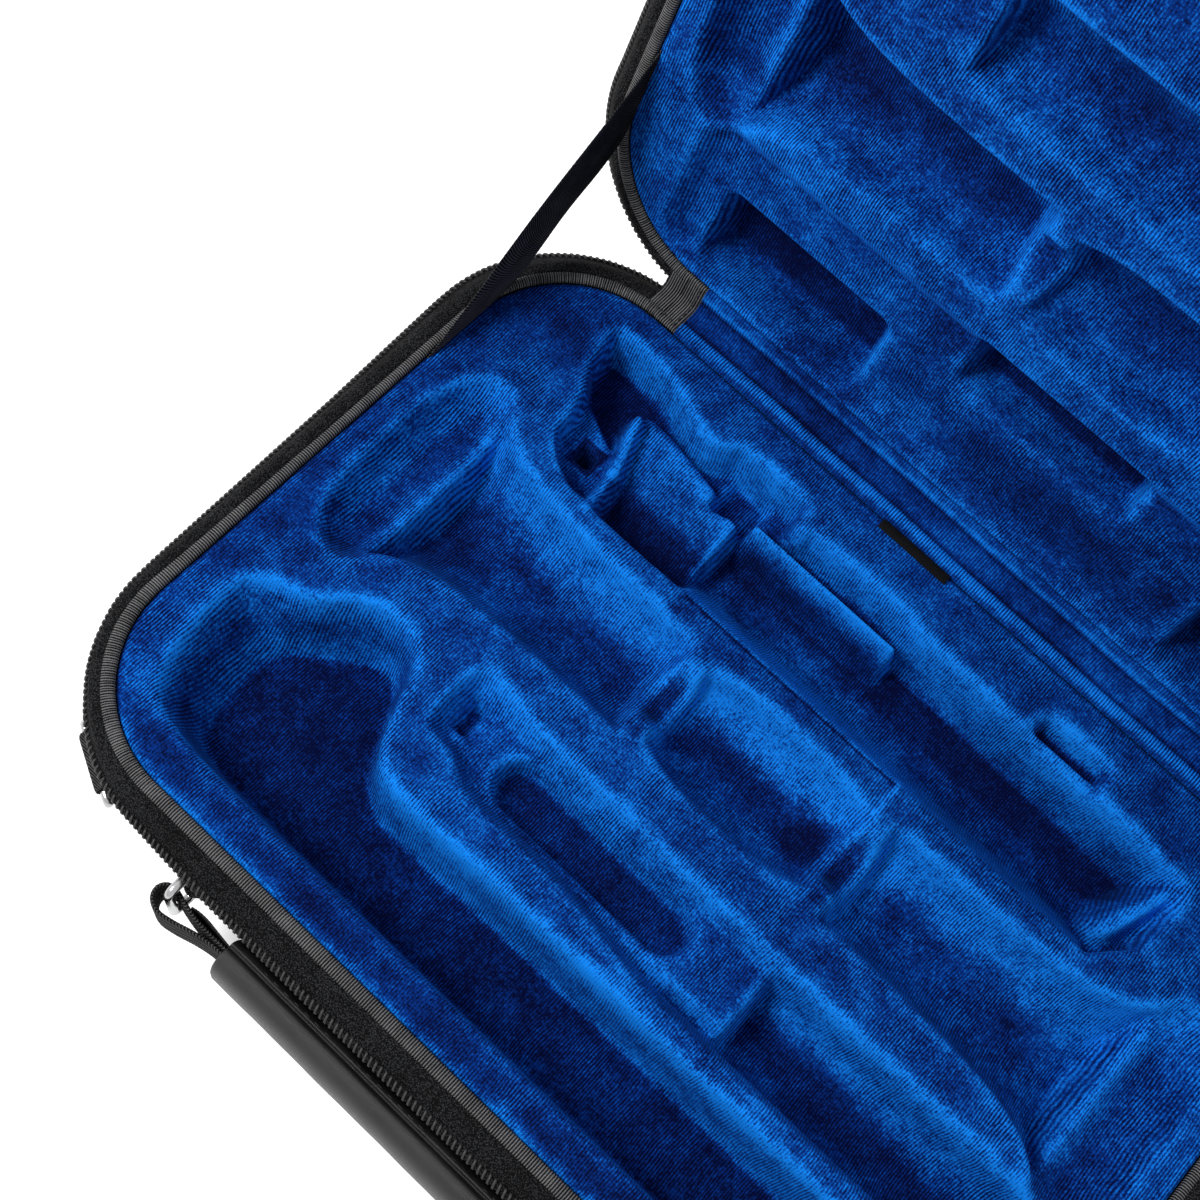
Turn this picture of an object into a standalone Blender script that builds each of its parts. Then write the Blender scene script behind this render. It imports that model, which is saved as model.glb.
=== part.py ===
"""Zippered clarinet case, open, with moulded velvet liners, stay straps, carry handle and strap rings.

Metres, +Z up. The origin is the centre of the base's underside, +X runs along the hinge and +Y points
from the handle side to the hinge side. The lid is drawn lying flat behind its hinge and then raised.
"""
import math
from collections import namedtuple

import bmesh
import bpy
from mathutils import Matrix, Vector

# The two halves of the case
case_length = 0.3633
case_width = 0.2424
base_height = 0.060
lid_height = 0.050
corner_radius = 0.051
floor_edge_radius = 0.012
shell_wall = 0.0022
rim_margin = 0.007
seat_gap = 0.0003
overrun = 0.004
weld_distance = 0.000001
corner_steps = 8
floor_steps = 3

# The hinge line and the lid's rest angle above flat
hinge_offset = 0.0036
hinge_rise = 0.0012
lid_raise = math.radians(76.0)

# Binding, zip tape and zip teeth round the rims
binding_rise = 0.0009
binding_depth = 0.0016
binding_lap = 0.0006
tape_start = 0.0013
tape_drop = 0.0009
tape_width = 0.0050
tape_thickness = 0.0010
tape_slope = math.radians(45.0)
teeth_diameter = 0.0020
rim_path_steps = 8

# The fabric across the hinge
spine_inset = 0.00765
spine_thickness = 0.0016
hinge_tab_width = 0.0144
hinge_tab_rise = 0.0005
seam_tab_length = 0.0290
seam_tab_width = 0.0038
seam_tab_thickness = 0.0006
seam_tab_offset = 0.0130

# Bell recesses, one at each end, with a finger dish behind each flare
bell_reach_share = 0.4455
bell_length = 0.097
bell_radius = 0.033
bell_inset = 0.04235
bell_length_shares = (0.0, 0.04, 0.145, 0.30, 0.465, 0.68, 1.0)
bell_radius_shares = (1.0, 0.91, 0.773, 0.667, 0.63, 0.606, 0.576)
dish_length = 0.081
dish_width = 0.027
dish_depth = 0.0125
dish_set_back = 0.0105

# Barrel recess between the bells, and the saddle that joins the three
barrel_length = 0.0665
barrel_end_radius = 0.0150
barrel_radius = 0.0205
barrel_length_shares = (0.0, 0.12, 0.30, 0.70, 0.88, 1.0)
barrel_bulge_shares = (0.0, 0.62, 1.0, 1.0, 0.62, 0.0)
saddle_radius = 0.0105
saddle_twist = math.radians(4.0)
row_steps = 32

# Lower joint recess beside the hinge, with clearance for its keys
lower_reach_share = 0.231
lower_length = 0.246
lower_inset = 0.04345
lower_width = 0.044
lower_depth = 0.030
key_clearance = 0.033
key_depth = 0.0245
key_edge_shares = ((0.0, 0.0), (0.0, 0.91), (0.085, 0.88), (0.187, 0.58), (0.248, 0.52), (0.26, 0.91),
                   (0.37, 0.82), (0.40, 0.67), (0.415, 0.77), (0.575, 0.77), (0.585, 0.54), (0.764, 0.67),
                   (0.776, 0.97), (0.886, 1.0), (0.902, 0.70), (1.0, 0.67), (1.0, 0.0))
step_length = 0.080
step_trough_length = 0.044
step_depth = 0.020
landing_length = 0.026
landing_width = 0.022
landing_depth = 0.012
landing_offset = 0.0075
socket_size = 0.009
socket_depth = 0.020
socket_offset = 0.004

# Upper joint recess in front of the barrel
upper_reach_share = 0.6663
upper_length = 0.246
upper_inset = 0.0219
upper_width = 0.034
shelf_depth = 0.009
slot_length = 0.078
slot_width = 0.0165
slot_depth = 0.026
slot_start = 0.027
deep_start = 0.1285

# Accessory well along the front, with a round head on the left
well_reach_share = 0.858
well_inset = 0.0325
well_width = 0.032
well_depth = 0.029
well_fillet = 0.005
well_head_inset = 0.0214
well_head_length = 0.086
well_head_width = 0.076
well_head_shares = ((0.0, 0.39), (0.01, 0.62), (0.09, 0.74), (0.23, 0.79), (0.36, 0.92), (0.49, 0.97),
                    (0.63, 0.95), (0.70, 0.85), (0.74, 0.69), (0.81, 0.53), (1.0, 0.42), (1.0, 0.03),
                    (0.76, 0.0), (0.48, 0.0), (0.27, 0.01), (0.13, 0.08), (0.04, 0.20))

# Key pockets and channels in the lid
key_pocket_length = 0.073
key_pocket_near = 0.014
key_pocket_width = 0.037
key_pocket_depth = 0.026
key_pocket_place = 0.0994
joint_pocket_length = 0.071
joint_pocket_near = 0.050
joint_pocket_width = 0.026
joint_pocket_depth = 0.024
lid_channel_width = 0.036
lid_channel_depth = 0.015
pocket_corner = 0.005

# Stay straps between the halves
stay_reach_share = 0.2393
stay_lap = 0.0405
stay_thickness = 0.0012

# Carry handle: tabs, rings, webbing and grip
handle_inset = 0.02565
ring_wire = 0.0032
ring_inner_height = 0.0235
ring_arm = 0.0090
ring_corner = 0.0028
handle_height = 0.036
webbing_height = 0.0200
webbing_thickness = 0.0014
webbing_taper = 0.0080
webbing_loop_bore = 0.0029
handle_tab_length = 0.0225
grip_inset = 0.024
grip_thickness = 0.0140
grip_height = 0.0270
grip_power = 2.6
grip_steps = 20

# Shoulder strap rings on the front corners
side_ring_angle = math.radians(63.0)
side_tab_top = 0.0090
side_tab_length = 0.0200
side_tab_width = 0.0200
side_ring_inner_width = 0.0240
side_ring_drop = 0.0165
side_ring_wire = 0.0030

# Zip slider and its pull, on the base's teeth at the rear right corner
slider_angle = math.radians(12.0)
slider_length = 0.0110
slider_width = 0.0092
slider_plate = 0.0011
slider_slot = 0.0030
slider_post = 0.0016
bail_wire = 0.0012
bail_length = 0.0055
bail_height = 0.0034
pull_length = 0.0240
pull_width = 0.0062
pull_thickness = 0.0012
pull_pin = 0.0014
pull_hole_length = 0.0042
pull_hole_width = 0.0030
pull_taper_share = 0.8

hinge_y = case_width / 2 + hinge_offset
hinge_z = base_height + hinge_rise
straight_length = case_length - 2 * corner_radius
spine_length = straight_length - 2 * spine_inset
ring_spacing = straight_length - 2 * handle_inset
grip_length = ring_spacing - 2 * grip_inset
bell_reach = bell_reach_share * case_width
bell_flare_place = case_length / 2 - bell_inset
lower_reach = lower_reach_share * case_width
lower_start = lower_inset - case_length / 2
upper_reach = upper_reach_share * case_width
upper_start = case_length / 2 - upper_inset - upper_length
well_reach = well_reach_share * case_width
well_start = well_inset - case_length / 2
well_length = case_length - well_inset - well_head_inset
well_head_start = well_head_inset - case_length / 2
stay_reach = stay_reach_share * case_width

Half = namedtuple("Half", "parent hinge_y sense rim_z height")
part_colour = {
    "velvet": ((0.01, 0.09, 0.42), 0.85, 0.0),
    "shell": ((0.02, 0.02, 0.022), 0.55, 0.0),
    "webbing": ((0.03, 0.03, 0.032), 0.80, 0.0),
    "tape": ((0.025, 0.025, 0.028), 0.85, 0.0),
    "teeth": ((0.02, 0.02, 0.02), 0.40, 0.0),
    "leather": ((0.03, 0.03, 0.03), 0.45, 0.0),
    "metal": ((0.42, 0.42, 0.44), 0.25, 1.0),
}


def clear_scene():
    for obj in list(bpy.data.objects):
        bpy.data.objects.remove(obj)


def make_collection(name):
    collection = bpy.data.collections.new(name)
    bpy.context.scene.collection.children.link(collection)
    return collection


def make_material(name, kind):
    """A plain principled material in the colour of one kind of stuff."""
    colour, roughness, metallic = part_colour[kind]
    material = bpy.data.materials.new(name)
    material.use_nodes = True
    shader = material.node_tree.nodes["Principled BSDF"]
    shader.inputs["Base Color"].default_value = (*colour, 1.0)
    shader.inputs["Roughness"].default_value = roughness
    shader.inputs["Metallic"].default_value = metallic
    return material


def place(name, mesh, collection, parent=None, matrix=None):
    """Link a mesh as an object, in its parent's frame."""
    obj = bpy.data.objects.new(name, mesh)
    collection.objects.link(obj)
    obj.parent = parent
    if matrix is not None:
        obj.matrix_local = matrix
    return obj


def add_part(name, mesh, kind, parent=None, matrix=None):
    """A finished sub-part with its own material."""
    mesh.materials.clear()
    mesh.materials.append(make_material(name, kind))
    return place(name, mesh, parts, parent, matrix)


def add_cutter(name, mesh, parent=None, matrix=None):
    obj = place(name, mesh, cutters, parent, matrix)
    obj.hide_render = True
    obj.display_type = "WIRE"
    return obj


def cut(obj, cutter):
    """Take a cutter's shape out of a part."""
    modifier = obj.modifiers.new("cut_" + cutter.name, "BOOLEAN")
    modifier.operation = "DIFFERENCE"
    modifier.solver = "EXACT"
    modifier.object = cutter


def mesh_from(bm, name):
    """Weld a working mesh, turn its faces outward and store it."""
    bmesh.ops.remove_doubles(bm, verts=bm.verts, dist=weld_distance)
    bmesh.ops.recalc_face_normals(bm, faces=bm.faces)
    mesh = bpy.data.meshes.new(name)
    bm.to_mesh(mesh)
    bm.free()
    return mesh


def mesh_from_curve(curve, name):
    """Turn a filled or bevelled curve into a closed mesh."""
    obj = bpy.data.objects.new(name, curve)
    bpy.context.scene.collection.objects.link(obj)
    evaluated = obj.evaluated_get(bpy.context.evaluated_depsgraph_get())
    bm = bmesh.new()
    bm.from_mesh(bpy.data.meshes.new_from_object(evaluated))
    bpy.data.objects.remove(obj)
    return mesh_from(bm, name)


def outline_curve(name, outlines, smooth=False):
    """A flat curve with one closed spline for each outline."""
    curve = bpy.data.curves.new(name, "CURVE")
    curve.dimensions = "2D"
    curve.fill_mode = "BOTH"
    curve.resolution_u = 3
    for outline in outlines:
        spline = curve.splines.new("BEZIER" if smooth else "POLY")
        points = spline.bezier_points if smooth else spline.points
        points.add(len(outline) - 1)
        for point, (x, y) in zip(points, outline):
            point.co = (x, y, 0) if smooth else (x, y, 0, 1)
            if smooth:
                point.handle_left_type = "AUTO"
                point.handle_right_type = "AUTO"
        spline.use_cyclic_u = True
    return curve


def slab(name, outlines, height, smooth=False):
    """A flat outline extruded to a height, centred on its own plane."""
    curve = outline_curve(name, outlines, smooth)
    curve.extrude = height / 2
    return mesh_from_curve(curve, name)


def arc(centre, radius, start, end, steps):
    """Points on an arc, ends included; the angles are in degrees."""
    points = []
    for i in range(steps + 1):
        angle = math.radians(start + (end - start) * i / steps)
        points.append((centre[0] + radius * math.cos(angle), centre[1] + radius * math.sin(angle)))
    return points


def capsule_outline(length, width, steps):
    """A straight slot with round ends, centred on the origin."""
    radius = width / 2
    x = length / 2 - radius
    return arc((x, 0), radius, -90, 90, steps) + arc((-x, 0), radius, 90, 270, steps)


def rounded_outline(length, width, radius, steps):
    """A rectangle with round corners, centred on the origin."""
    x = length / 2 - radius
    y = width / 2 - radius
    return (arc((x, y), radius, 0, 90, steps) + arc((-x, y), radius, 90, 180, steps)
            + arc((-x, -y), radius, 180, 270, steps) + arc((x, -y), radius, 270, 360, steps))


def reach_y(half, reach):
    """The y of a place a given distance from the hinge axis."""
    return half.hinge_y + half.sense * reach


def tray(name, length, width, depth, corner, edge):
    """A block whose top is z = 0, with round upright corners and a round floor edge."""
    bm = bmesh.new()
    bmesh.ops.create_cube(bm, size=1.0)
    bmesh.ops.scale(bm, vec=(length, width, depth), verts=bm.verts)
    bmesh.ops.translate(bm, vec=(0, 0, -depth / 2), verts=bm.verts)
    upright = [e for e in bm.edges if abs(e.verts[0].co.z - e.verts[1].co.z) > depth / 2]
    bmesh.ops.bevel(bm, geom=upright, offset=corner, offset_type="OFFSET", segments=corner_steps,
                    profile=0.5, affect="EDGES")
    floor = [e for e in bm.edges if max(v.co.z for v in e.verts) < seat_gap - depth]
    bmesh.ops.bevel(bm, geom=floor, offset=edge, offset_type="OFFSET", segments=floor_steps,
                    profile=0.5, affect="EDGES")
    return bm


def top_faces(bm):
    highest = max(v.co.z for v in bm.verts)
    return [f for f in bm.faces if min(v.co.z for v in f.verts) > highest - seat_gap / 2]


def make_shell(name, half):
    """The moulded outer tray of one half, an open skin with thickness."""
    drop = binding_depth + seat_gap
    bm = tray(name, case_length, case_width, half.height - drop, corner_radius, floor_edge_radius)
    bmesh.ops.delete(bm, geom=top_faces(bm), context="FACES_ONLY")
    y = reach_y(half, hinge_offset + case_width / 2)
    shell = add_part(name, mesh_from(bm, name), "shell", half.parent,
                     Matrix.Translation((0, y, half.rim_z - drop)))
    skin = shell.modifiers.new("wall", "SOLIDIFY")
    skin.thickness = shell_wall
    skin.offset = -1
    skin.use_even_offset = True
    return shell


def make_liner(name, half):
    """The foam block that fills a shell, with its velvet face raised inside the binding."""
    side = shell_wall + seat_gap
    drop = binding_depth + seat_gap
    radius = corner_radius - side
    bm = tray(name, case_length - 2 * side, case_width - 2 * side, half.height - drop - side, radius,
              floor_edge_radius - side)
    face = top_faces(bm)
    bmesh.ops.inset_region(bm, faces=face, thickness=rim_margin + seat_gap - side, use_even_offset=True)
    raised = bmesh.ops.extrude_discrete_faces(bm, faces=face)["faces"]
    bmesh.ops.translate(bm, vec=(0, 0, drop), verts=list({v for f in raised for v in f.verts}))
    y = reach_y(half, hinge_offset + case_width / 2)
    return add_part(name, mesh_from(bm, name), "velvet", half.parent,
                    Matrix.Translation((0, y, half.rim_z - drop)))


def turned_cutter(name, half, profile, steps, x, reach, towards, twist=0.0):
    """A turned recess whose axis runs along the case at the height of the hinge axis.

    The profile holds (distance along the axis, radius) pairs, and towards is the sign of its way in x.
    A twist keeps its facets off those of the shape that it meets.
    """
    mesh = bpy.data.meshes.new(name)
    points = [(0, 0, profile[-1][0])]
    points += [(radius, 0, along) for along, radius in reversed(profile)]
    points.append((0, 0, profile[0][0]))
    mesh.from_pydata(points, [(i, i + 1) for i in range(len(points) - 1)], [])
    matrix = (Matrix.Translation((x, reach_y(half, reach), half.rim_z + hinge_rise))
              @ Matrix.Rotation(math.radians(90) * towards, 4, "Y") @ Matrix.Rotation(twist, 4, "Z"))
    cutter = add_cutter(name, mesh, half.parent, matrix)
    turn = cutter.modifiers.new("turn", "SCREW")
    turn.axis = "Z"
    turn.steps = steps
    turn.render_steps = steps
    turn.use_merge_vertices = True
    turn.merge_threshold = weld_distance
    return cutter


def bell_profile():
    return [(share * bell_length, reach * bell_radius)
            for share, reach in zip(bell_length_shares, bell_radius_shares)]


def barrel_profile():
    bulge = barrel_radius - barrel_end_radius
    return [(share * barrel_length, barrel_end_radius + swell * bulge)
            for share, swell in zip(barrel_length_shares, barrel_bulge_shares)]


def pocket_cutter(name, half, outline, depth, x=0.0, reach=0.0, fillet=0.0, smooth=False):
    """A flat-floored recess cut down from the rim along an outline."""
    height = depth + overrun + fillet
    mesh = slab(name, [outline], height, smooth)
    z = half.rim_z - depth + height / 2
    cutter = add_cutter(name, mesh, half.parent, Matrix.Translation((x, reach_y(half, reach), z)))
    if fillet:
        edge = cutter.modifiers.new("floor_fillet", "BEVEL")
        edge.width = fillet
        edge.segments = 2
        edge.limit_method = "ANGLE"
        edge.angle_limit = math.radians(60)
    return cutter


def trough_cutter(name, half, length, width, depth, x, reach):
    """A straight recess with a round bottom, running along the case from x."""
    radius = width / 2
    outline = arc((0, radius), radius, 180, 360, 10) + [(radius, depth + overrun), (-radius, depth + overrun)]
    mesh = slab(name, [outline], length)
    turn = Matrix(((0, 0, 1, 0), (1, 0, 0, 0), (0, 1, 0, 0), (0, 0, 0, 1)))
    place_at = Matrix.Translation((x + length / 2, reach_y(half, reach), half.rim_z - depth))
    return add_cutter(name, mesh, half.parent, place_at @ turn)


def cut_bell_row(liner, half):
    """Two bells flaring to the ends, a barrel between them and the saddle that joins them."""
    for side, towards in (("left", 1), ("right", -1)):
        flare_x = -towards * bell_flare_place
        cut(liner, turned_cutter(f"{liner.name}_bell_{side}", half, bell_profile(), row_steps, flare_x,
                                 bell_reach, towards))
        mesh = dish_mesh(f"{liner.name}_dish_{side}")
        centre = (flare_x - towards * dish_set_back, reach_y(half, bell_reach), half.rim_z)
        cut(liner, add_cutter(mesh.name, mesh, half.parent, Matrix.Translation(centre)))
    cut(liner, turned_cutter(liner.name + "_barrel", half, barrel_profile(), row_steps,
                             -barrel_length / 2, bell_reach, 1))
    reach_between = bell_flare_place - bell_length
    saddle = [(0, saddle_radius), (2 * (reach_between + overrun), saddle_radius)]
    cut(liner, turned_cutter(liner.name + "_saddle", half, saddle, row_steps,
                             -reach_between - overrun, bell_reach, 1, saddle_twist))


def dish_mesh(name):
    """The shallow oval bowl that lets fingers reach behind a bell's flare."""
    bm = bmesh.new()
    bmesh.ops.create_uvsphere(bm, u_segments=24, v_segments=12, radius=0.5)
    bmesh.ops.scale(bm, vec=(dish_width, dish_length, 2 * dish_depth), verts=bm.verts)
    return mesh_from(bm, name)


def cut_lower_joint(liner, half):
    """The deep channel beside the hinge, its shallower step, key clearance, landing and key socket."""
    channel_x = lower_start + step_length
    cut(liner, trough_cutter(liner.name + "_lower", half, lower_length - step_length, lower_width,
                             lower_depth, channel_x, lower_reach))
    cut(liner, trough_cutter(liner.name + "_lower_step", half, step_trough_length, lower_width,
                             step_depth, channel_x - step_trough_length, lower_reach))
    outline = [(along * lower_length, -half.sense * out * key_clearance) for along, out in key_edge_shares]
    cut(liner, pocket_cutter(liner.name + "_keys", half, outline, key_depth, lower_start, lower_reach))
    landing = rounded_outline(landing_length, landing_width, pocket_corner, 3)
    landing_x = lower_start + landing_offset + landing_length / 2
    landing_reach = lower_reach + landing_width / 2 - socket_offset
    cut(liner, pocket_cutter(liner.name + "_landing", half, landing, landing_depth, landing_x,
                             landing_reach))
    socket = rounded_outline(socket_size, socket_size, seat_gap, 1)
    cut(liner, pocket_cutter(liner.name + "_socket", half, socket, socket_depth,
                             landing_x + socket_offset, landing_reach - socket_offset))


def cut_upper_joint(liner, half):
    """A shelf with an oval slot, opening into the deep end of the upper joint's recess."""
    shelf = rounded_outline(upper_length, upper_width, pocket_corner, 3)
    cut(liner, pocket_cutter(liner.name + "_shelf", half, shelf, shelf_depth,
                             upper_start + upper_length / 2, upper_reach))
    slot = capsule_outline(slot_length, slot_width, 8)
    cut(liner, pocket_cutter(liner.name + "_slot", half, slot, slot_depth,
                             upper_start + slot_start + slot_length / 2, upper_reach))
    deep_length = upper_length - deep_start
    cut(liner, trough_cutter(liner.name + "_upper", half, deep_length, upper_width - pocket_corner,
                             slot_depth, upper_start + deep_start, upper_reach))


def cut_well(liner, half):
    """The long accessory well and its round head, with a filleted floor."""
    channel = capsule_outline(well_length, well_width, 8)
    cut(liner, pocket_cutter(liner.name + "_well", half, channel, well_depth, well_start + well_length / 2,
                             well_reach, well_fillet))
    head = [(along * well_head_length, -half.sense * (across * well_head_width - well_width / 2))
            for along, across in well_head_shares]
    cut(liner, pocket_cutter(liner.name + "_well_head", half, head, well_depth, well_head_start,
                             well_reach, well_fillet, smooth=True))


def cut_lid_pockets(liner, half):
    """Pockets in the lid over the lower joint's keys, and shallow channels over the other rows."""
    key = rounded_outline(key_pocket_length, key_pocket_width, pocket_corner, 3)
    key_middle = key_pocket_near + key_pocket_width / 2
    for side, sign in (("left", -1), ("right", 1)):
        cut(liner, pocket_cutter(f"{liner.name}_keys_{side}", half, key, key_pocket_depth,
                                 sign * key_pocket_place, key_middle))
    joint = rounded_outline(joint_pocket_length, joint_pocket_width, pocket_corner, 3)
    cut(liner, pocket_cutter(liner.name + "_joint", half, joint, joint_pocket_depth, 0,
                             joint_pocket_near + joint_pocket_width / 2))
    cut(liner, trough_cutter(liner.name + "_upper", half, upper_length, lid_channel_width,
                             lid_channel_depth, upper_start, upper_reach))


def hinge_end():
    """How far the hinge fabric, tabs included, reaches from the middle."""
    return spine_length / 2 + hinge_tab_width


def rim_path(half):
    """The case outline round three sides, with its ends under the hinge fabric."""
    x = case_length / 2 - corner_radius
    y = case_width / 2 - corner_radius
    stop = min(x, hinge_end()) - overrun
    corners = ([(stop, case_width / 2)] + arc((x, y), corner_radius, 90, 0, rim_path_steps)
               + arc((x, -y), corner_radius, 0, -90, rim_path_steps)
               + arc((-x, -y), corner_radius, -90, -180, rim_path_steps)
               + arc((-x, y), corner_radius, -180, -270, rim_path_steps) + [(-stop, case_width / 2)])
    middle = reach_y(half, hinge_offset + case_width / 2)
    return [(px, middle - half.sense * py) for px, py in corners]


def rim_band(name, half, profile, kind):
    """A profile of (outward, upward) points swept along the rim and cut short at the hinge fabric."""
    path = bpy.data.curves.new(name, "CURVE")
    path.dimensions = "2D"
    spline = path.splines.new("POLY")
    points = rim_path(half)
    if half.sense < 0:
        points.reverse()
    spline.points.add(len(points) - 1)
    for point, (x, y) in zip(spline.points, points):
        point.co = (x, y, 0, 1)
    section = bpy.data.objects.new(name + "_section", outline_curve(name + "_section", [profile]))
    section.hide_render = True
    cutters.objects.link(section)
    path.bevel_mode = "OBJECT"
    path.bevel_object = section
    path.use_fill_caps = True
    mesh = mesh_from_curve(path, name)
    bpy.data.objects.remove(section)
    band = add_part(name, mesh, kind, half.parent, Matrix.Translation((0, 0, half.rim_z)))
    box = rounded_outline(2 * (hinge_end() + seat_gap), corner_radius, seat_gap, 1)
    spot = Matrix.Translation((0, reach_y(half, hinge_offset), half.rim_z))
    cut(band, add_cutter(name + "_end", slab(name + "_end", [box], corner_radius), half.parent, spot))


def tape_point(along, across=0.0):
    """A point of the sloping zip tape's section, along its width and across its thickness."""
    return (tape_start + along * math.cos(tape_slope) + across * math.sin(tape_slope),
            -tape_drop - along * math.sin(tape_slope) + across * math.cos(tape_slope))


def teeth_middle():
    return tape_width + seat_gap + teeth_diameter / 2


def make_rim(prefix, half):
    """The binding over the rim, the zip tape outside it and the row of teeth on its edge."""
    inner = -rim_margin
    rise, depth, lap = binding_rise, binding_depth, binding_lap
    binding = [(inner, -depth), (lap, -depth), (lap, rise / 2), (lap - rise, rise), (inner + rise, rise),
               (inner, rise / 2)]
    rim_band(prefix + "_binding", half, binding, "webbing")
    thick = tape_thickness / 2
    tape = [tape_point(0, -thick), tape_point(tape_width, -thick), tape_point(tape_width, thick),
            tape_point(0, thick)]
    rim_band(prefix + "_zip_tape", half, tape, "tape")
    middle = tape_point(teeth_middle())
    teeth = [(x + middle[0], y + middle[1]) for x, y in arc((0, 0), teeth_diameter / 2, 0, 300, 5)]
    rim_band(prefix + "_zip_teeth", half, teeth, "teeth")


def across_hinge(depth, rise):
    """The section of fabric laid over both rims at the hinge, about the hinge axis.

    It reaches from depth below each rim plane to rise above it, and bends where the planes meet.
    """
    edge = hinge_offset + rim_margin
    turn = Matrix.Rotation(lid_raise, 2)
    bend = math.tan(lid_raise / 2)
    top = rise - hinge_rise
    bottom = -depth - hinge_rise
    return [(-edge, bottom), (-bottom * bend, bottom), tuple(turn @ Vector((edge, bottom))),
            tuple(turn @ Vector((edge, top))), (-top * bend, top), (-edge, top)]


def along_x(x, y, z):
    """The matrix that stands a slab's outline in the YZ plane, with its thickness along X."""
    turn = Matrix(((0, 0, 1, 0), (1, 0, 0, 0), (0, 1, 0, 0), (0, 0, 0, 1)))
    return Matrix.Translation((x, y, z)) @ turn


def make_hinge_fabric():
    """The velvet spine, the stitched tabs at its ends and the bare sewn tab in its seam."""
    mesh = slab("hinge_spine", [across_hinge(spine_thickness, 0)], spine_length)
    add_part("hinge_spine", mesh, "velvet", None, along_x(0, hinge_y, hinge_z))
    for side, sign in (("left", -1), ("right", 1)):
        x = sign * (spine_length + hinge_tab_width) / 2
        section = across_hinge(binding_depth, hinge_tab_rise)
        mesh = slab("hinge_tab_" + side, [section], hinge_tab_width - 2 * seat_gap)
        add_part("hinge_tab_" + side, mesh, "webbing", None, along_x(x, hinge_y, hinge_z))
    tab = slab("seam_tab", [rounded_outline(seam_tab_length, seam_tab_width, seam_tab_width / 8, 2)],
               seam_tab_thickness)
    y = case_width / 2 - rim_margin - seam_tab_width / 2 - seat_gap
    z = base_height + seat_gap + seam_tab_thickness / 2
    add_part("seam_tab", tab, "webbing", None, Matrix.Translation((-seam_tab_offset, y, z)))


def make_stays():
    """The webbing stays that stop the lid, drawn taut between the two rims."""
    edge = stay_lap / 2
    turn = Matrix.Rotation(lid_raise, 2)
    level = binding_rise + seat_gap - hinge_rise
    low = [(-stay_reach - edge, level), (-stay_reach + edge, level)]
    high = [tuple(turn @ Vector((stay_reach - edge, level))), tuple(turn @ Vector((stay_reach + edge, level)))]
    for side, sign in (("left", -1), ("right", 1)):
        mesh = slab("stay_strap_" + side, [low + high], stay_thickness)
        x = sign * (case_length / 2 - rim_margin - seat_gap - stay_thickness / 2)
        add_part("stay_strap_" + side, mesh, "webbing", None, along_x(x, hinge_y, hinge_z))


def eye_outline(bore, shift=0.0):
    """The outside of a strap folded round a bore, from its upper to its lower layer."""
    outer = bore + webbing_thickness
    return [(x + shift, y) for x, y in arc((0, 0), outer, 55, 305, 10)]


def folded_strap(bore, tail, lean):
    """A strap folded round a wire at the origin, its two layers stitched together out to the tail.

    The layers lean to one side of the wire by the given amount, and the second outline is the bore.
    """
    layer = webbing_thickness
    taper = tail / 3
    outside = eye_outline(bore) + [(taper, lean - layer), (tail, lean - layer), (tail, lean + layer),
                                   (taper, lean + layer)]
    return [outside, arc((0, 0), bore, 0, 330, 11)]


def make_handle():
    """The carry handle: a tab on the shell, a ring, the webbing and the wrapped grip."""
    stand = 2 * seat_gap + webbing_thickness + ring_wire / 2
    bar_y = -case_width / 2 - stand
    grip_y = bar_y - ring_arm
    lean = stand - seat_gap - webbing_thickness
    for side, sign in (("left", -1), ("right", 1)):
        shape = folded_strap(ring_wire / 2 + seat_gap, handle_tab_length, lean)
        mesh = slab("handle_tab_" + side, [[(sign * x, y) for x, y in line] for line in shape],
                    webbing_height)
        add_part("handle_tab_" + side, mesh, "webbing", None,
                 Matrix.Translation((sign * ring_spacing / 2, bar_y, handle_height)))
        make_handle_ring(side, sign, bar_y)
    add_part("handle_webbing", handle_webbing_mesh(), "webbing", None,
             Matrix.Translation((0, grip_y, handle_height)))
    make_grip(grip_y)


def make_handle_ring(side, sign, bar_y):
    """A rectangular wire ring that stands out from its tab and is hinged on its inner bar."""
    name = "handle_ring_" + side
    outline = rounded_outline(ring_arm, ring_inner_height + ring_wire, ring_corner, 3)
    pivot = bpy.data.objects.new(name + "_pivot", None)
    parts.objects.link(pivot)
    pivot.location = (sign * ring_spacing / 2, bar_y, handle_height)
    ring = wire_mesh(name, [(0, x - ring_arm / 2, y) for x, y in outline], ring_wire, True)
    add_part(name, ring, "metal", pivot)


def wire_mesh(name, points, diameter, closed):
    """A round wire along points."""
    curve = bpy.data.curves.new(name, "CURVE")
    curve.dimensions = "3D"
    curve.bevel_depth = diameter / 2
    curve.bevel_resolution = 2
    curve.use_fill_caps = True
    spline = curve.splines.new("POLY")
    spline.points.add(len(points) - 1)
    for point, place_at in zip(spline.points, points):
        point.co = (*place_at, 1)
    spline.use_cyclic_u = closed
    return mesh_from_curve(curve, name)


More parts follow.
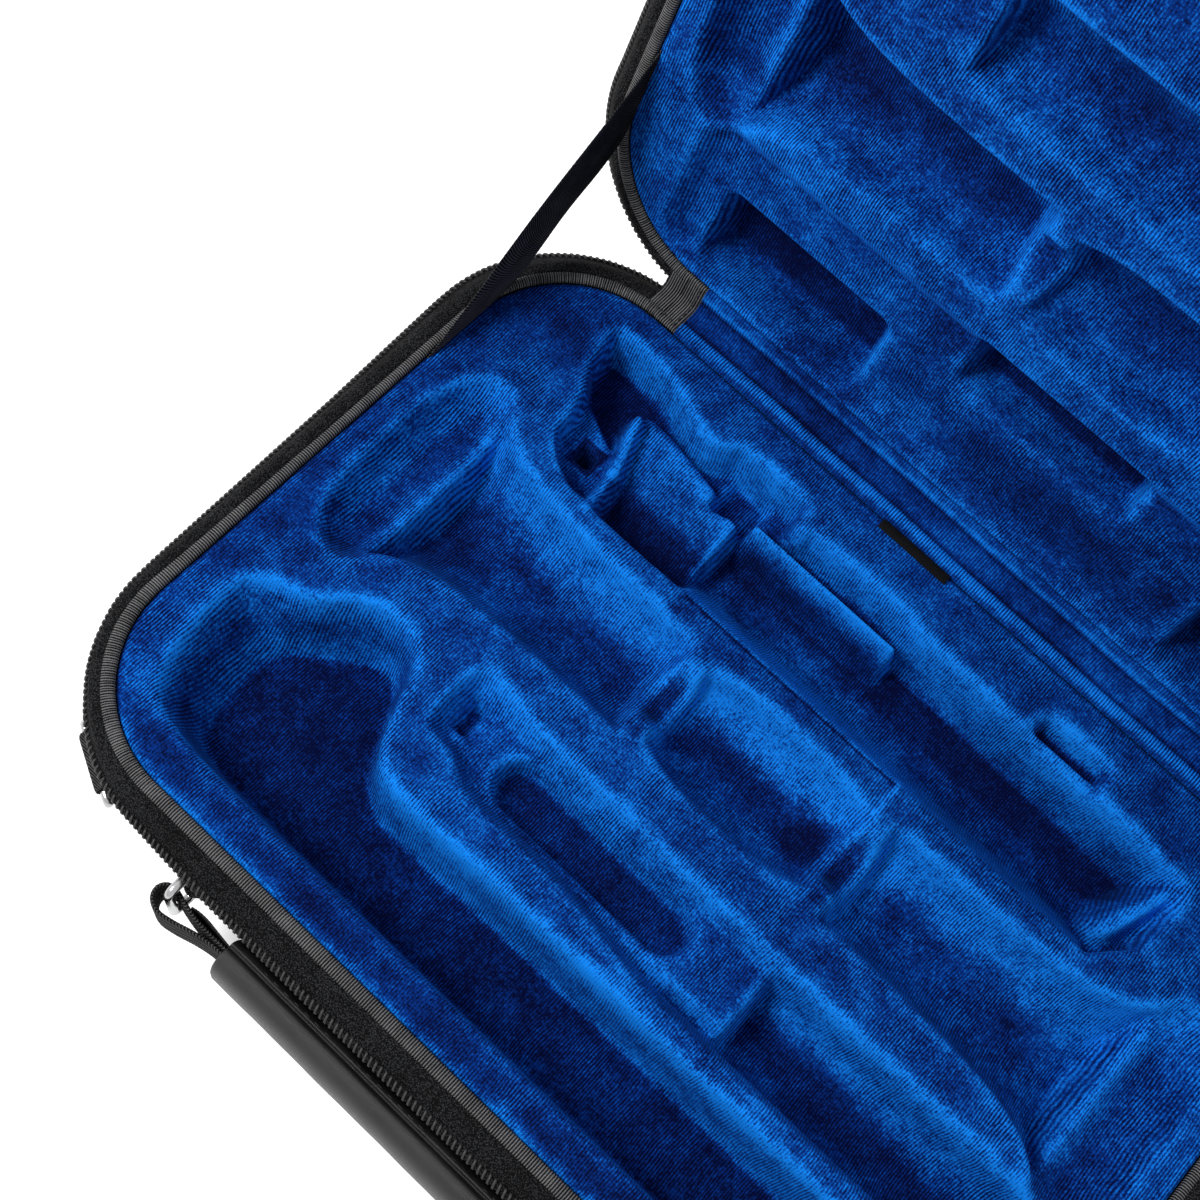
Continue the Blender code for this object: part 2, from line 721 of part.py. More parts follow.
def handle_webbing_mesh():
    """One strap from ring to ring, looped round each wire and doubled through the grip."""
    wire_x = ring_spacing / 2
    shift = webbing_loop_bore - ring_wire / 2 - seat_gap
    layer = webbing_thickness
    joined = wire_x - shift - webbing_loop_bore - webbing_taper
    left = [(x - wire_x, y) for x, y in eye_outline(webbing_loop_bore, shift)]
    right = [(-x, -y) for x, y in left]
    outside = left + [(-joined, -layer), (joined, -layer)] + right + [(joined, layer), (-joined, layer)]
    bores = [[(sign * (x + shift - wire_x), y) for x, y in arc((0, 0), webbing_loop_bore, 0, 330, 11)]
             for sign in (1, -1)]
    return slab("handle_webbing", [outside] + bores, webbing_height)


def superellipse(width, height, power, steps):
    """A closed outline between an oval and a rectangle."""
    points = []
    for i in range(steps):
        angle = math.radians(360) * i / steps
        c, s = math.cos(angle), math.sin(angle)
        points.append((math.copysign(abs(c) ** (2 / power), c) * width / 2,
                       math.copysign(abs(s) ** (2 / power), s) * height / 2))
    return points


def make_grip(grip_y):
    """The padded leather wrap round the strap: a rounded sleeve with a flat bore."""
    outline = superellipse(grip_thickness, grip_height, grip_power, grip_steps)
    spot = along_x(0, grip_y, handle_height)
    grip = add_part("handle_grip", slab("handle_grip", [outline], grip_length), "leather", None, spot)
    bore_outline = rounded_outline(2 * (webbing_thickness + seat_gap), webbing_height + 2 * seat_gap,
                                   seat_gap, 1)
    cut(grip, add_cutter("grip_bore", slab("grip_bore", [bore_outline], grip_length + overrun), None, spot))


def make_side_rings():
    """A tab on each front corner with a D-shaped ring hanging from its fold."""
    stand = 2 * seat_gap + webbing_thickness + side_ring_wire / 2
    lean = seat_gap + webbing_thickness - stand
    for side, sign in (("left", -1), ("right", 1)):
        centre = Vector((sign * (case_length / 2 - corner_radius), corner_radius - case_width / 2, 0))
        outward = Vector((sign * math.cos(side_ring_angle), -math.sin(side_ring_angle), 0))
        bar = centre + outward * (corner_radius + stand)
        bar.z = base_height - side_tab_top - side_tab_length
        up = Vector((0, 0, 1))
        turn = Matrix((outward, up, outward.cross(up))).transposed().to_4x4()
        spot = Matrix.Translation(bar) @ turn
        shape = folded_strap(side_ring_wire / 2 + seat_gap, side_tab_length, lean)
        mesh = slab("side_tab_" + side, [[(y, x) for x, y in line] for line in shape], side_tab_width)
        add_part("side_tab_" + side, mesh, "webbing", None, spot)
        pivot = bpy.data.objects.new(f"side_ring_{side}_pivot", None)
        parts.objects.link(pivot)
        pivot.matrix_world = spot
        half_width = (side_ring_inner_width + side_ring_wire) / 2
        bow = [(0, y * side_ring_drop / half_width, x) for x, y in arc((0, 0), half_width, 180, 360, 12)]
        add_part("side_ring_" + side, wire_mesh("side_ring_" + side, bow, side_ring_wire, True), "metal",
                 pivot)


def slider_frame():
    """The slider's frame on the teeth: X along its travel, Y down the tape, Z out of the tape."""
    x = case_length / 2 - corner_radius
    y = case_width / 2 - corner_radius
    along, drop = tape_point(teeth_middle())
    radial = Vector((math.cos(slider_angle), math.sin(slider_angle), 0))
    centre = Vector((x, y, base_height + drop)) + radial * (corner_radius + along)
    travel = Vector((math.sin(slider_angle), -math.cos(slider_angle), 0))
    down = radial * math.cos(tape_slope) - Vector((0, 0, 1)) * math.sin(tape_slope)
    out = travel.cross(down)
    turn = Matrix((travel, down, out)).transposed().to_4x4()
    return Matrix.Translation(centre) @ turn


def make_slider():
    """The zip slider, two plates joined by a post between the two rows, and its bail and pull."""
    frame = slider_frame()
    thick = slider_slot + 2 * slider_plate
    between = teeth_diameter / 2 + seat_gap
    nose, tail = slider_width / 2, slider_width / 3
    shield = [(-slider_length / 2, -tail), (-slider_length / 2, tail), (slider_length / 6, nose),
              (slider_length / 2, tail), (slider_length / 2, -tail), (slider_length / 6, -nose)]
    shield = [(x, y + between) for x, y in shield]
    slider = add_part("zip_slider", slab("zip_slider", [shield], thick), "metal", None, frame)
    post = (between, between + slider_post)
    slot = [(-slider_length, -slider_width), (slider_length, -slider_width), (slider_length, post[0]),
            (slider_length / 6, post[0]), (slider_length / 6, post[1]), (slider_length, post[1]),
            (slider_length, 2 * slider_width), (-slider_length, 2 * slider_width)]
    cut(slider, add_cutter("slider_slot", slab("slider_slot", [slot], slider_slot), None, frame))
    foot = thick / 2 - slider_plate / 2
    top = thick / 2 + bail_height
    bail = [(x, between, z) for x, z in ((-bail_length / 2, foot), (-bail_length / 2, top),
                                         (bail_length / 2, top), (bail_length / 2, foot))]
    loop = add_cutter("slider_bail", wire_mesh("slider_bail", bail, bail_wire, False), None, frame)
    join = slider.modifiers.new("bail", "BOOLEAN")
    join.operation = "UNION"
    join.solver = "EXACT"
    join.object = loop
    under_bar = bail_height - bail_wire / 2
    make_pull(frame @ Matrix.Translation((0, between, thick / 2 + under_bar / 2)))


def make_pull(spot):
    """The pull, lying forward along the zip, with its pin inside the bail and a hole for the bail's leg."""
    width, tip, pin = pull_width / 2, pull_width / 3, pull_pin / 2
    taper = pull_length * pull_taper_share
    outline = [(-pin, width), (-pin, -width), (taper, -width), (pull_length, -tip), (pull_length, tip),
               (taper, width)]
    hole = rounded_outline(pull_hole_length, pull_hole_width, pull_thickness / 3, 1)
    hole = [(x + pin + pull_hole_length / 2, y) for x, y in hole]
    pivot = bpy.data.objects.new("zip_pull_pivot", None)
    parts.objects.link(pivot)
    pivot.matrix_world = spot
    add_part("zip_pull", slab("zip_pull", [outline, hole], pull_thickness), "metal", pivot)


clear_scene()
parts = make_collection("clarinet_case")
cutters = make_collection("clarinet_case_cutters")
lid_pivot = bpy.data.objects.new("lid_pivot", None)
parts.objects.link(lid_pivot)
lid_pivot.location = (0, hinge_y, hinge_z)
lid_pivot.rotation_euler = (lid_raise, 0, 0)
base_half = Half(None, hinge_y, -1, base_height, base_height)
lid_half = Half(lid_pivot, 0.0, 1, -hinge_rise, lid_height)

for half_name, case_half in (("base", base_half), ("lid", lid_half)):
    make_shell(half_name + "_shell", case_half)
    make_rim(half_name, case_half)
base_liner = make_liner("base_liner", base_half)
cut_bell_row(base_liner, base_half)
cut_lower_joint(base_liner, base_half)
cut_upper_joint(base_liner, base_half)
cut_well(base_liner, base_half)
lid_liner = make_liner("lid_liner", lid_half)
cut_bell_row(lid_liner, lid_half)
cut_lid_pockets(lid_liner, lid_half)
make_hinge_fabric()
make_stays()
make_handle()
make_side_rings()
make_slider()
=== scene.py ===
"""Dresses the open clarinet case: velvet liners, cloth, webbing, zip, leather and metal.

Metres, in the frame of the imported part, except where a docstring or comment says millimetres. Both halves are
drawn in one half frame, (x along the hinge, reach from the hinge, height above the rim), which half_at turns
into the part's frame.
"""
import math

import bmesh
import bpy
import numpy as np
from mathutils import Matrix, Vector


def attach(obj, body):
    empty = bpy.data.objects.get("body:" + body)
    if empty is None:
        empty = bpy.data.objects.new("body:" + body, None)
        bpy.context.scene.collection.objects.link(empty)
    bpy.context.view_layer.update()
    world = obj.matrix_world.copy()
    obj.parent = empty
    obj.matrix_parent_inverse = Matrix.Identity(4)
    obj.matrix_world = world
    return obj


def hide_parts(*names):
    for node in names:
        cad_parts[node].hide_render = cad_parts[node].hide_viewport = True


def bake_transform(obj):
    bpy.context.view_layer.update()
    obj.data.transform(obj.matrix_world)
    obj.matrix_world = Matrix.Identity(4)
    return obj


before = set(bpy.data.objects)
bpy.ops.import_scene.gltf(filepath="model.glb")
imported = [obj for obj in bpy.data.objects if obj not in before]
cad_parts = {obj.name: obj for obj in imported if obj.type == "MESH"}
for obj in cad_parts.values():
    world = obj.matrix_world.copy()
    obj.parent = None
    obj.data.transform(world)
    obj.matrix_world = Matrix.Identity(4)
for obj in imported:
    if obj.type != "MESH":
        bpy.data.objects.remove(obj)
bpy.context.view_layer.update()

mm = 0.001

# The two halves, as in the part
case_length = 0.3633
case_width = 0.2424
base_height = 0.060
lid_height = 0.050
corner_radius = 0.051
rim_margin = 0.007
hinge_offset = 0.0036
hinge_rise = 0.0012
middle_reach = case_width / 2 + hinge_offset
hinge_y = middle_reach
hinge_z = base_height + hinge_rise
lid_raise = math.radians(76)
hinge_end = 0.1374
spine_half = 0.1230
seat = 0.0003
sides = (("left", -1), ("right", 1))

base_at = Matrix.Translation((0, hinge_y, base_height)) @ Matrix.Diagonal((1, -1, 1, 1))
lid_at = (Matrix.Translation((0, hinge_y, hinge_z)) @ Matrix.Rotation(lid_raise, 4, "X")
          @ Matrix.Translation((0, 0, -hinge_rise)))
half_at = {"base": base_at, "lid": lid_at}


# ---------------------------------------------------------------- paths and pieces
def unit(vectors):
    return vectors / np.linalg.norm(vectors, axis=-1, keepdims=True)


def lengths(points):
    """The distance along a path at each of its points."""
    return np.concatenate([[0], np.cumsum(np.linalg.norm(np.diff(points, axis=0), axis=1))])


def resample(points, step):
    length = lengths(points)
    at = np.linspace(0, length[-1], max(2, int(round(length[-1] / step)) + 1))
    return np.stack([np.interp(at, length, points[:, i]) for i in range(points.shape[1])], 1)


def smooth(points, steps=6, closed=True):
    """A smooth curve through the given points, with so many points to each span."""
    p = np.asarray(points, float)
    if not closed:
        p = np.concatenate([[2 * p[0] - p[1]], p, [2 * p[-1] - p[-2]]])
    n = len(p)
    t = np.arange(steps)[:, None] / steps
    out = []
    for i in range(n) if closed else range(1, n - 2):
        a, b, c, d = p[i - 1], p[i], p[(i + 1) % n], p[(i + 2) % n]
        out.append(0.5 * (2 * b + (c - a) * t + (2 * a - 5 * b + 4 * c - d) * t * t
                          + (3 * b - a - 3 * c + d) * t ** 3))
    return np.concatenate(out if closed else out + [p[-2:-1]])


def smooth_path(points, step=0.25 * mm):
    """A smooth open path through points in millimetres, in metres."""
    return resample(smooth(points, 12, False) * mm, step)


def frames_along(points):
    """Outward and upward unit vectors along a flat path whose outside is to the right of its way."""
    way = unit(np.gradient(points, axis=0))
    out = unit(np.cross(way, (0, 0, 1)))
    return out, np.cross(out, way)


def rim_line(step):
    """The case outline in the half frame, from one end of the hinge fabric round to the other."""
    hx, hy, r, stop = case_length / 2, case_width / 2, corner_radius, hinge_end + seat
    points = [(stop, -hy)]
    for cx, cy, start in ((hx - r, r - hy, -90), (hx - r, hy - r, 0), (r - hx, hy - r, 90), (r - hx, r - hy, 180)):
        for angle in np.radians(start + 90 * np.arange(33) / 32):
            points.append((cx + r * math.cos(angle), cy + r * math.sin(angle)))
    line = resample(np.array(points + [(-stop, -hy)]), step)
    return np.stack([line[:, 0], line[:, 1] + middle_reach, np.zeros(len(line))], 1)


def circle(radius, count):
    """A round profile."""
    return [(radius * math.cos(a), radius * math.sin(a)) for a in np.arange(count) * 2 * math.pi / count]


def swept(centres, outs, ups, profile, closed_path=False, ripple=None):
    """A piece: a closed profile of (out, up) points carried along a path, with caps at open ends.

    The profile may change along the path. A piece is its points, its faces and its UVs in metres.
    """
    profile = np.asarray(profile, float)
    n, k = len(centres), profile.shape[-2]
    along = lengths(centres)
    grow = 1 if ripple is None else ripple(along)[:, None, None]
    centre = profile.mean(-2, keepdims=True)
    local = np.broadcast_to(centre + (profile - centre) * grow, (n, k, 2))
    points = (centres[:, None] + outs[:, None] * local[..., :1] + ups[:, None] * local[..., 1:]).reshape(-1, 3)
    around = lengths(profile if profile.ndim == 2 else profile[0])
    rows, j = np.arange(n if closed_path else n - 1)[:, None], np.arange(k)
    a, b, q = rows * k, (rows + 1) % n * k, (j + 1) % k
    faces = np.stack([a + j, b + j, b + q, a + q], -1).reshape(-1, 4).tolist()
    if not closed_path:
        faces += [list(range(k)), list(range(n * k - 1, (n - 1) * k - 1, -1))]
    return points, faces, np.stack([np.repeat(along, k), np.tile(around, n)], 1)


def grid_piece(top, bottom, uvs=None):
    """A piece between two point grids of the same shape, (rows, columns, 3)."""
    rows, cols = top.shape[:2]
    number = np.arange(rows * cols).reshape(rows, cols)
    upper = np.stack([number[:-1, :-1], number[1:, :-1], number[1:, 1:], number[:-1, 1:]], -1).reshape(-1, 4)
    lower = upper[:, ::-1] + rows * cols
    edge = np.concatenate([number[:, 0], number[-1, 1:], number[-2::-1, -1], number[0, -2:0:-1]])
    after = np.roll(edge, -1)
    walls = np.stack([edge, after, after + rows * cols, edge + rows * cols], 1)
    points = np.concatenate([top.reshape(-1, 3), bottom.reshape(-1, 3)])
    if uvs is not None:
        uvs = np.concatenate([uvs.reshape(-1, 2)] * 2)
    return points, np.concatenate([upper, lower, walls]).tolist(), uvs


def merged(pieces):
    """Several pieces as one, each still a closed shell of its own."""
    faces, first = [], 0
    for points, piece_faces, _ in pieces:
        faces += [[first + v for v in face] for face in piece_faces]
        first += len(points)
    return np.concatenate([p[0] for p in pieces]), faces, np.concatenate([p[2] for p in pieces])


def mesh_object(name, points, faces, uvs=None, matrix=None, painted_shading=None):
    """A smooth mesh object, with the velvet's painted light and shade at each point if it is given."""
    mesh = bpy.data.meshes.new(name)
    points = np.asarray(points, float)
    if matrix is not None:
        m = np.array(matrix)
        points = points @ m[:3, :3].T + m[:3, 3]
        if np.linalg.det(m[:3, :3]) < 0:
            faces = [tuple(reversed(f)) for f in faces]
    mesh.from_pydata(points.tolist(), [], [tuple(f) for f in faces])
    if uvs is not None:
        layer = mesh.uv_layers.new(name="cloth")
        index = np.zeros(len(mesh.loops), np.int32)
        mesh.loops.foreach_get("vertex_index", index)
        layer.data.foreach_set("uv", np.asarray(uvs, np.float32)[index].ravel())
    if painted_shading is not None:
        mesh.attributes.new("painted_shading", "FLOAT", "POINT").data.foreach_set("value", painted_shading.astype(np.float32))
    mesh.polygons.foreach_set("use_smooth", [True] * len(mesh.polygons))
    mesh.update()
    obj = bpy.data.objects.new(name, mesh)
    bpy.context.scene.collection.objects.link(obj)
    return obj


def face_outward(bm, obj):
    """Turns all faces outward and puts the mesh back in its object."""
    bmesh.ops.recalc_face_normals(bm, faces=bm.faces)
    bm.to_mesh(obj.data)
    bm.free()


def dress(obj, material, node=None):
    obj.data.materials.clear()
    obj.data.materials.append(material)
    if node:
        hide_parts(node)
    return obj


def make(name, piece, material, body=None, node=None, matrix=None, painted_shading=None):
    """A dressed object from a piece, riding on a body and standing for a node if they are given."""
    obj = mesh_object(name, *piece, matrix, painted_shading)
    bm = bmesh.new()
    bm.from_mesh(obj.data)
    face_outward(bm, obj)
    if body:
        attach(obj, body)
    return dress(obj, material, node)


# ---------------------------------------------------------------- materials
class Nodes:
    """A short way to write the nodes of a material or, with kind "worlds", of a world."""

    def __init__(self, name, kind="materials", shader="Principled BSDF"):
        self.owner = getattr(bpy.data, kind).new(name)
        self.owner.use_nodes = True
        self.tree = self.owner.node_tree
        self.shader = self.tree.nodes[shader]
        if kind == "materials":
            self.coords = self.node("TexCoord").outputs["Object"]

    def put(self, socket, value):
        if isinstance(value, bpy.types.NodeSocket):
            self.tree.links.new(value, socket)
        else:
            socket.default_value = value

    def node(self, node_kind, inputs=(), **settings):
        made = self.tree.nodes.new("ShaderNode" + node_kind)
        for key, value in settings.items():
            setattr(made, key, value)
        for key, value in dict(inputs).items():
            self.put(made.inputs[key], value)
        return made

    def math(self, operation, *values, clamp=False):
        return self.node("Math", enumerate(values), operation=operation, use_clamp=clamp).outputs[0]

    def scaled(self, value, factor, offset=0.0):
        return self.math("MULTIPLY_ADD", value, factor, offset)

    def about_half(self, value, strength):
        """A value of 0 to 1 turned into one that swings about zero."""
        return self.scaled(value, strength, -0.5 * strength)

    def total(self, first, *others, clamp=False):
        for other in others:
            first = self.math("ADD", first, other, clamp=clamp and other is others[-1])
        return first

    def noise(self, scale, detail=2.0, roughness=0.5, output="Fac"):
        return self.node("TexNoise", {"Vector": self.coords, "Scale": scale, "Detail": detail,
                                      "Roughness": roughness}).outputs[output]

    def ramp(self, value, *stops):
        made = self.node("ValToRGB", {"Fac": value})
        elements = made.color_ramp.elements
        while len(elements) < len(stops):
            elements.new(0.5)
        for element, (place, colour) in zip(elements, stops):
            element.position = place
            element.color = (*colour, 1)
        return made.outputs["Color"]

    def axes(self, vector):
        return self.node("SeparateXYZ", {0: vector}).outputs

    def wave(self, value, pitch):
        """A sine of 0 to 1 with the given pitch in metres."""
        return self.scaled(self.math("SINE", self.math("MULTIPLY", value, 2 * math.pi / pitch)), 0.5, 0.5)

    def bump(self, height, strength, distance):
        made = self.node("Bump", {"Strength": strength, "Distance": distance, "Height": height})
        self.put(self.shader.inputs["Normal"], made.outputs["Normal"])

    def finish(self, **values):
        for key, value in values.items():
            self.put(self.shader.inputs[key.replace("_", " ")], value)
        return self.owner


def velvet_material(name, rib_pitch, rib_tone, grain):
    """Ribbed plush coloured from a point attribute of painted light and shade: navy for painted shade, azure for
    painted highlight, royal between, with random pile, ribs and wear.
    """
    shaded_navy, royal, highlight_azure = (0.0004, 0.0020, 0.028), (0.0010, 0.032, 0.230), (0.006, 0.230, 0.860)
    n = Nodes(name)
    wavy = n.total(n.axes(n.coords)[0], n.scaled(n.noise(55), 2.6 * mm))
    rib = n.wave(wavy, rib_pitch)
    pile = n.noise(1050, 2, 0.8)
    worn = n.scaled(n.noise(70), 1.6, -0.25)
    # The attribute holds painted light and shade, set per point by the pieces that use this material.
    painted_shading = n.node("Attribute", attribute_name="painted_shading").outputs["Fac"]
    loose = n.total(n.about_half(pile, grain), n.about_half(n.noise(420, 2, 0.6), 0.7),
                    n.math("MULTIPLY", n.about_half(rib, rib_tone), worn),
                    n.about_half(n.noise(26, 3, 0.55), 0.95), n.about_half(n.noise(120, 3, 0.6), 0.95))
    # Tone: the painted light and shade, shifted by random pile, ribs and wear.
    tone = n.total(painted_shading, n.math("MULTIPLY", loose, n.scaled(painted_shading, 0.42, 0.52)), clamp=True)
    n.bump(n.total(n.scaled(rib, 0.5), pile), 0.5, 0.3 * mm)
    return n.finish(Base_Color=n.ramp(tone, (0.0, shaded_navy), (0.40, royal), (0.92, highlight_azure)), Roughness=0.9,
                    Specular_IOR_Level=0.06, Sheen_Weight=0.45, Sheen_Roughness=0.35,
                    Sheen_Tint=(0.01, 0.20, 0.9, 1))


def webbing_material(name, pitch, lean, depth, light):
    """Woven black tape: ribs of the given pitch, leaning across the tape by a slope."""
    n = Nodes(name)
    u, v, _ = n.axes(n.node("UVMap", uv_map="cloth").outputs["UV"])
    rib = n.wave(n.total(u, n.scaled(v, lean)), pitch)
    fuzz = n.noise(3200, 2, 0.6)
    tone = n.total(n.scaled(rib, 0.60), n.scaled(n.wave(v, 0.45 * mm), 0.10), n.scaled(fuzz, 0.6, -0.18),
                   n.about_half(n.noise(120, 3, 0.6), 0.5), clamp=True)
    n.bump(n.total(rib, n.scaled(fuzz, 0.4)), 0.9, depth)
    return n.finish(Base_Color=n.ramp(tone, (0.30, (0.0012, 0.0012, 0.0015)), (0.85, light)), Roughness=0.75,
                    Specular_IOR_Level=0.07)


def cloth_material(name, scale):
    """Pebbled black cloth."""
    n = Nodes(name)
    pebble = n.node("TexVoronoi", {"Vector": n.coords, "Scale": scale}).outputs["Distance"]
    fuzz = n.noise(2800, 2, 0.6)
    tone = n.total(n.scaled(fuzz, 0.5, 0.55), n.scaled(pebble, -1), n.about_half(n.noise(60, 3, 0.6), 0.35), clamp=True)
    n.bump(n.math("SUBTRACT", fuzz, pebble), 0.8, 0.25 * mm)
    colour = n.ramp(tone, (0.25, (0.0015, 0.0015, 0.0017)), (0.90, (0.060, 0.061, 0.066)))
    return n.finish(Base_Color=colour, Roughness=0.8, Specular_IOR_Level=0.07)


def leather_material(name):
    """Black leatherette with a fine grain."""
    n = Nodes(name)
    warped = n.node("MixRGB", {"Fac": 0.02, "Color1": n.coords, "Color2": n.noise(700, output="Color")})
    cells = n.node("TexVoronoi", {"Vector": warped.outputs["Color"], "Scale": 1500}, feature="DISTANCE_TO_EDGE")
    grain = n.math("MINIMUM", cells.outputs["Distance"], 0.25)
    cloud = n.noise(90, 4, 0.6)
    n.bump(n.total(n.scaled(grain, 3.0), n.scaled(cloud, 0.6)), 0.35, 0.12 * mm)
    return n.finish(Base_Color=n.ramp(cloud, (0.3, (0.006, 0.006, 0.0065)), (0.75, (0.016, 0.016, 0.017))),
                    Roughness=n.scaled(cloud, 0.25, 0.32), Specular_IOR_Level=0.38)


def metal_material(name, colour, rough):
    n = Nodes(name)
    smear = n.noise(140, 3, 0.6)
    n.bump(smear, 0.08, 0.1 * mm)
    return n.finish(Base_Color=n.ramp(smear, (0.3, [0.8 * c for c in colour]), (0.7, colour)), Metallic=1.0,
                    Roughness=n.scaled(n.noise(900, 3, 0.6), 0.12, rough))


def plastic_material(name, colour, rough):
    n = Nodes(name)
    cloud = n.noise(700, 2, 0.6)
    return n.finish(Base_Color=n.ramp(cloud, (0.3, [0.6 * c for c in colour]), (0.8, colour)),
                    Roughness=n.scaled(cloud, 0.2, rough), Specular_IOR_Level=0.5)


velvet = velvet_material("velvet", 1.0 * mm, 1.15, 2.0)
spine_velvet = velvet_material("spine_velvet", 1.05 * mm, 0.0, 1.2)
grosgrain = webbing_material("grosgrain", 0.9 * mm, 0.0, 0.22 * mm, (0.19, 0.19, 0.195))
twill = webbing_material("twill", 1.15 * mm, 0.75, 0.25 * mm, (0.095, 0.090, 0.094))
pebbled = cloth_material("pebbled_tape", 1900)
shell_cloth = cloth_material("shell_cloth", 1500)
leather = leather_material("leatherette")
nickel = metal_material("nickel", (0.52, 0.52, 0.53), 0.16)
gunmetal = metal_material("gunmetal", (0.18, 0.18, 0.19), 0.22)
coil_plastic = plastic_material("coil_plastic", (0.016, 0.016, 0.017), 0.45)
thread = plastic_material("thread", (0.020, 0.020, 0.022), 0.6)
satin = webbing_material("satin", 0.5 * mm, 0.0, 0.05 * mm, (0.012, 0.012, 0.013))


# ---------------------------------------------------------------- liner fields, in millimetres
def hump(value, middle, width):
    return np.exp(-((value - middle) / width) ** 2)


def ease(value, start, run):
    """From 0 at the start to 1 after the run."""
    return np.clip((value - start) / run, 0, 1)


def soft_patch(x, y, x0, x1, y0, y1, fade):
    """A patch of 1 with soft edges."""
    return ease(x, x0, fade) * ease(-x, -x1, fade) * ease(y, y0, fade) * ease(-y, -y1, fade)


def inside(x, y, loop):
    """Distance in from a closed outline, negative outside."""
    loop = np.asarray(loop, float)
    best = np.full(x.shape, np.inf)
    within = np.zeros(x.shape, bool)
    for a, b in zip(loop, np.roll(loop, -1, axis=0)):
        ex, ey = b - a
        t = np.clip(((x - a[0]) * ex + (y - a[1]) * ey) / (ex * ex + ey * ey), 0, 1)
        best = np.minimum(best, (x - a[0] - t * ex) ** 2 + (y - a[1] - t * ey) ** 2)
        if ey:
            within ^= ((a[1] > y) != (b[1] > y)) & (x < a[0] + (y - a[1]) * ex / ey)
    return np.where(within, 1, -1) * np.sqrt(best)


def beyond_box(x, y, half_x, half_y, corner):
    """Distance out from a rectangle with round corners about the origin, negative inside."""
    qx, qy = np.abs(x) - half_x + corner, np.abs(y) - half_y + corner
    return np.hypot(np.maximum(qx, 0), np.maximum(qy, 0)) + np.minimum(np.maximum(qx, qy), 0) - corner


def pocket(distance, depth, slope):
    """Depth of a flat-floored pocket whose walls slope by so many degrees."""
    return np.clip(distance * math.tan(math.radians(slope)), 0, depth)


def box(x, y, x0, x1, y0, y1, depth, corner, slope):
    """Depth of a rectangular pocket with round corners."""
    out = beyond_box(x - (x0 + x1) / 2, y - (y0 + y1) / 2, (x1 - x0) / 2, (y1 - y0) / 2, corner)
    return pocket(-out, depth, slope)


def trough(across, radius, depth):
    """Depth of a round-bottomed channel."""
    bottom = np.sqrt(np.maximum(radius * radius - across * across, 0)) + depth - radius
    return np.where(np.abs(across) < radius, np.maximum(bottom, 0), 0)


def spur(x, y, a, b, tops, half_width, slope):
    """Depth allowed by a tapering ridge that runs from a to b, whose top lies at the given depths."""
    way = np.subtract(b, a)
    length = np.hypot(*way)
    way = way / length
    t = (x - a[0]) * way[0] + (y - a[1]) * way[1]
    side = np.abs((x - a[0]) * way[1] - (y - a[1]) * way[0])
    beyond = np.maximum(np.maximum(-t, t - length), 0)
    width = half_width * (1 - 0.4 * np.clip(t / length, 0, 1))
    top = np.interp(t / length, np.linspace(0, 1, len(tops)), tops)
    return top + np.maximum(np.hypot(side, beyond) - width, 0) * slope


# The bell row, shared by both halves: turned shapes about one axis that lies a little above the rim
row_reach = 108.0
row_rise = 1.2
bell_flare = 139.3
barrel_half = 33.4


def bell_row(x, reach):
    """Depth of the two bells, the barrel, the saddle between them and the finger dishes."""
    x, across = np.abs(x), reach - row_reach
    along = np.maximum(bell_flare - x, 0)

    def turned(radius, end):
        return np.sqrt(np.maximum(np.where(x < end, radius, 0) ** 2 - across ** 2, 0)) - row_rise

    bell = np.minimum.reduce([turned(19.3 + 13.9 * np.exp(-(along / 16) ** 0.9), bell_flare), 9 + along * 3.2,
                              (x - 42) * 2.8])
    bulge = 15.6 + 4.7 * (1 - np.clip(x / barrel_half, 0, 1) ** 3.2)
    barrel = np.minimum(turned(bulge, barrel_half), (34 - x) * 4)
    far = (x - (150.5 - 0.0016 * across ** 2)) / 13.4
    dish = 13 * np.clip(1 - far ** 2 - (across / 41) ** 4, 0, 1) ** 0.8
    return np.maximum.reduce([bell, barrel, turned(10.5, 44), dish, 0 * x])


well_top = [(-148, -96.5), (-156, -88), (-160.5, -70), (-160.5, -51), (-152.5, -43.5), (-140, -39.5), (-129, -29.5),
            (-118, -25.5), (-106.5, -27.5), (-101, -34), (-97, -46), (-91, -58), (-84, -64.5), (-68, -66.5),
            (-30, -65.5), (60, -65), (140, -66), (152, -72), (156, -83), (152, -95), (140, -100), (60, -100),
            (-40, -100), (-100, -100), (-130, -99.5)]
well_floor = [(-136, -90), (-141, -80), (-142.5, -66), (-140, -54), (-132, -46), (-122.5, -39), (-114, -34),
              (-106, -36), (-100.5, -44), (-95.5, -54), (-88, -65), (-74, -70.5), (-36, -69.5), (60, -69),
              (138, -70), (147, -75), (150, -83), (147, -91), (138, -95), (60, -95.5), (-40, -95.5), (-100, -95),
              (-126, -94)]
shelf_line = [(-86, -19), (-78, -17.5), (-58, -20.5), (-24, -20.5), (3, -21.3), (44, -21.5), (152, -21.5),
              (158, -26), (158, -50), (152, -56), (40, -57.5), (21, -57.5), (9, -56), (-25, -52), (-60, -51.5),
              (-74, -45.5), (-86, -42.5), (-88, -30)]
shelf_front = [(-30, -47.5), (8, -47), (42, -47), (42, -55), (8, -54), (-14, -50)]
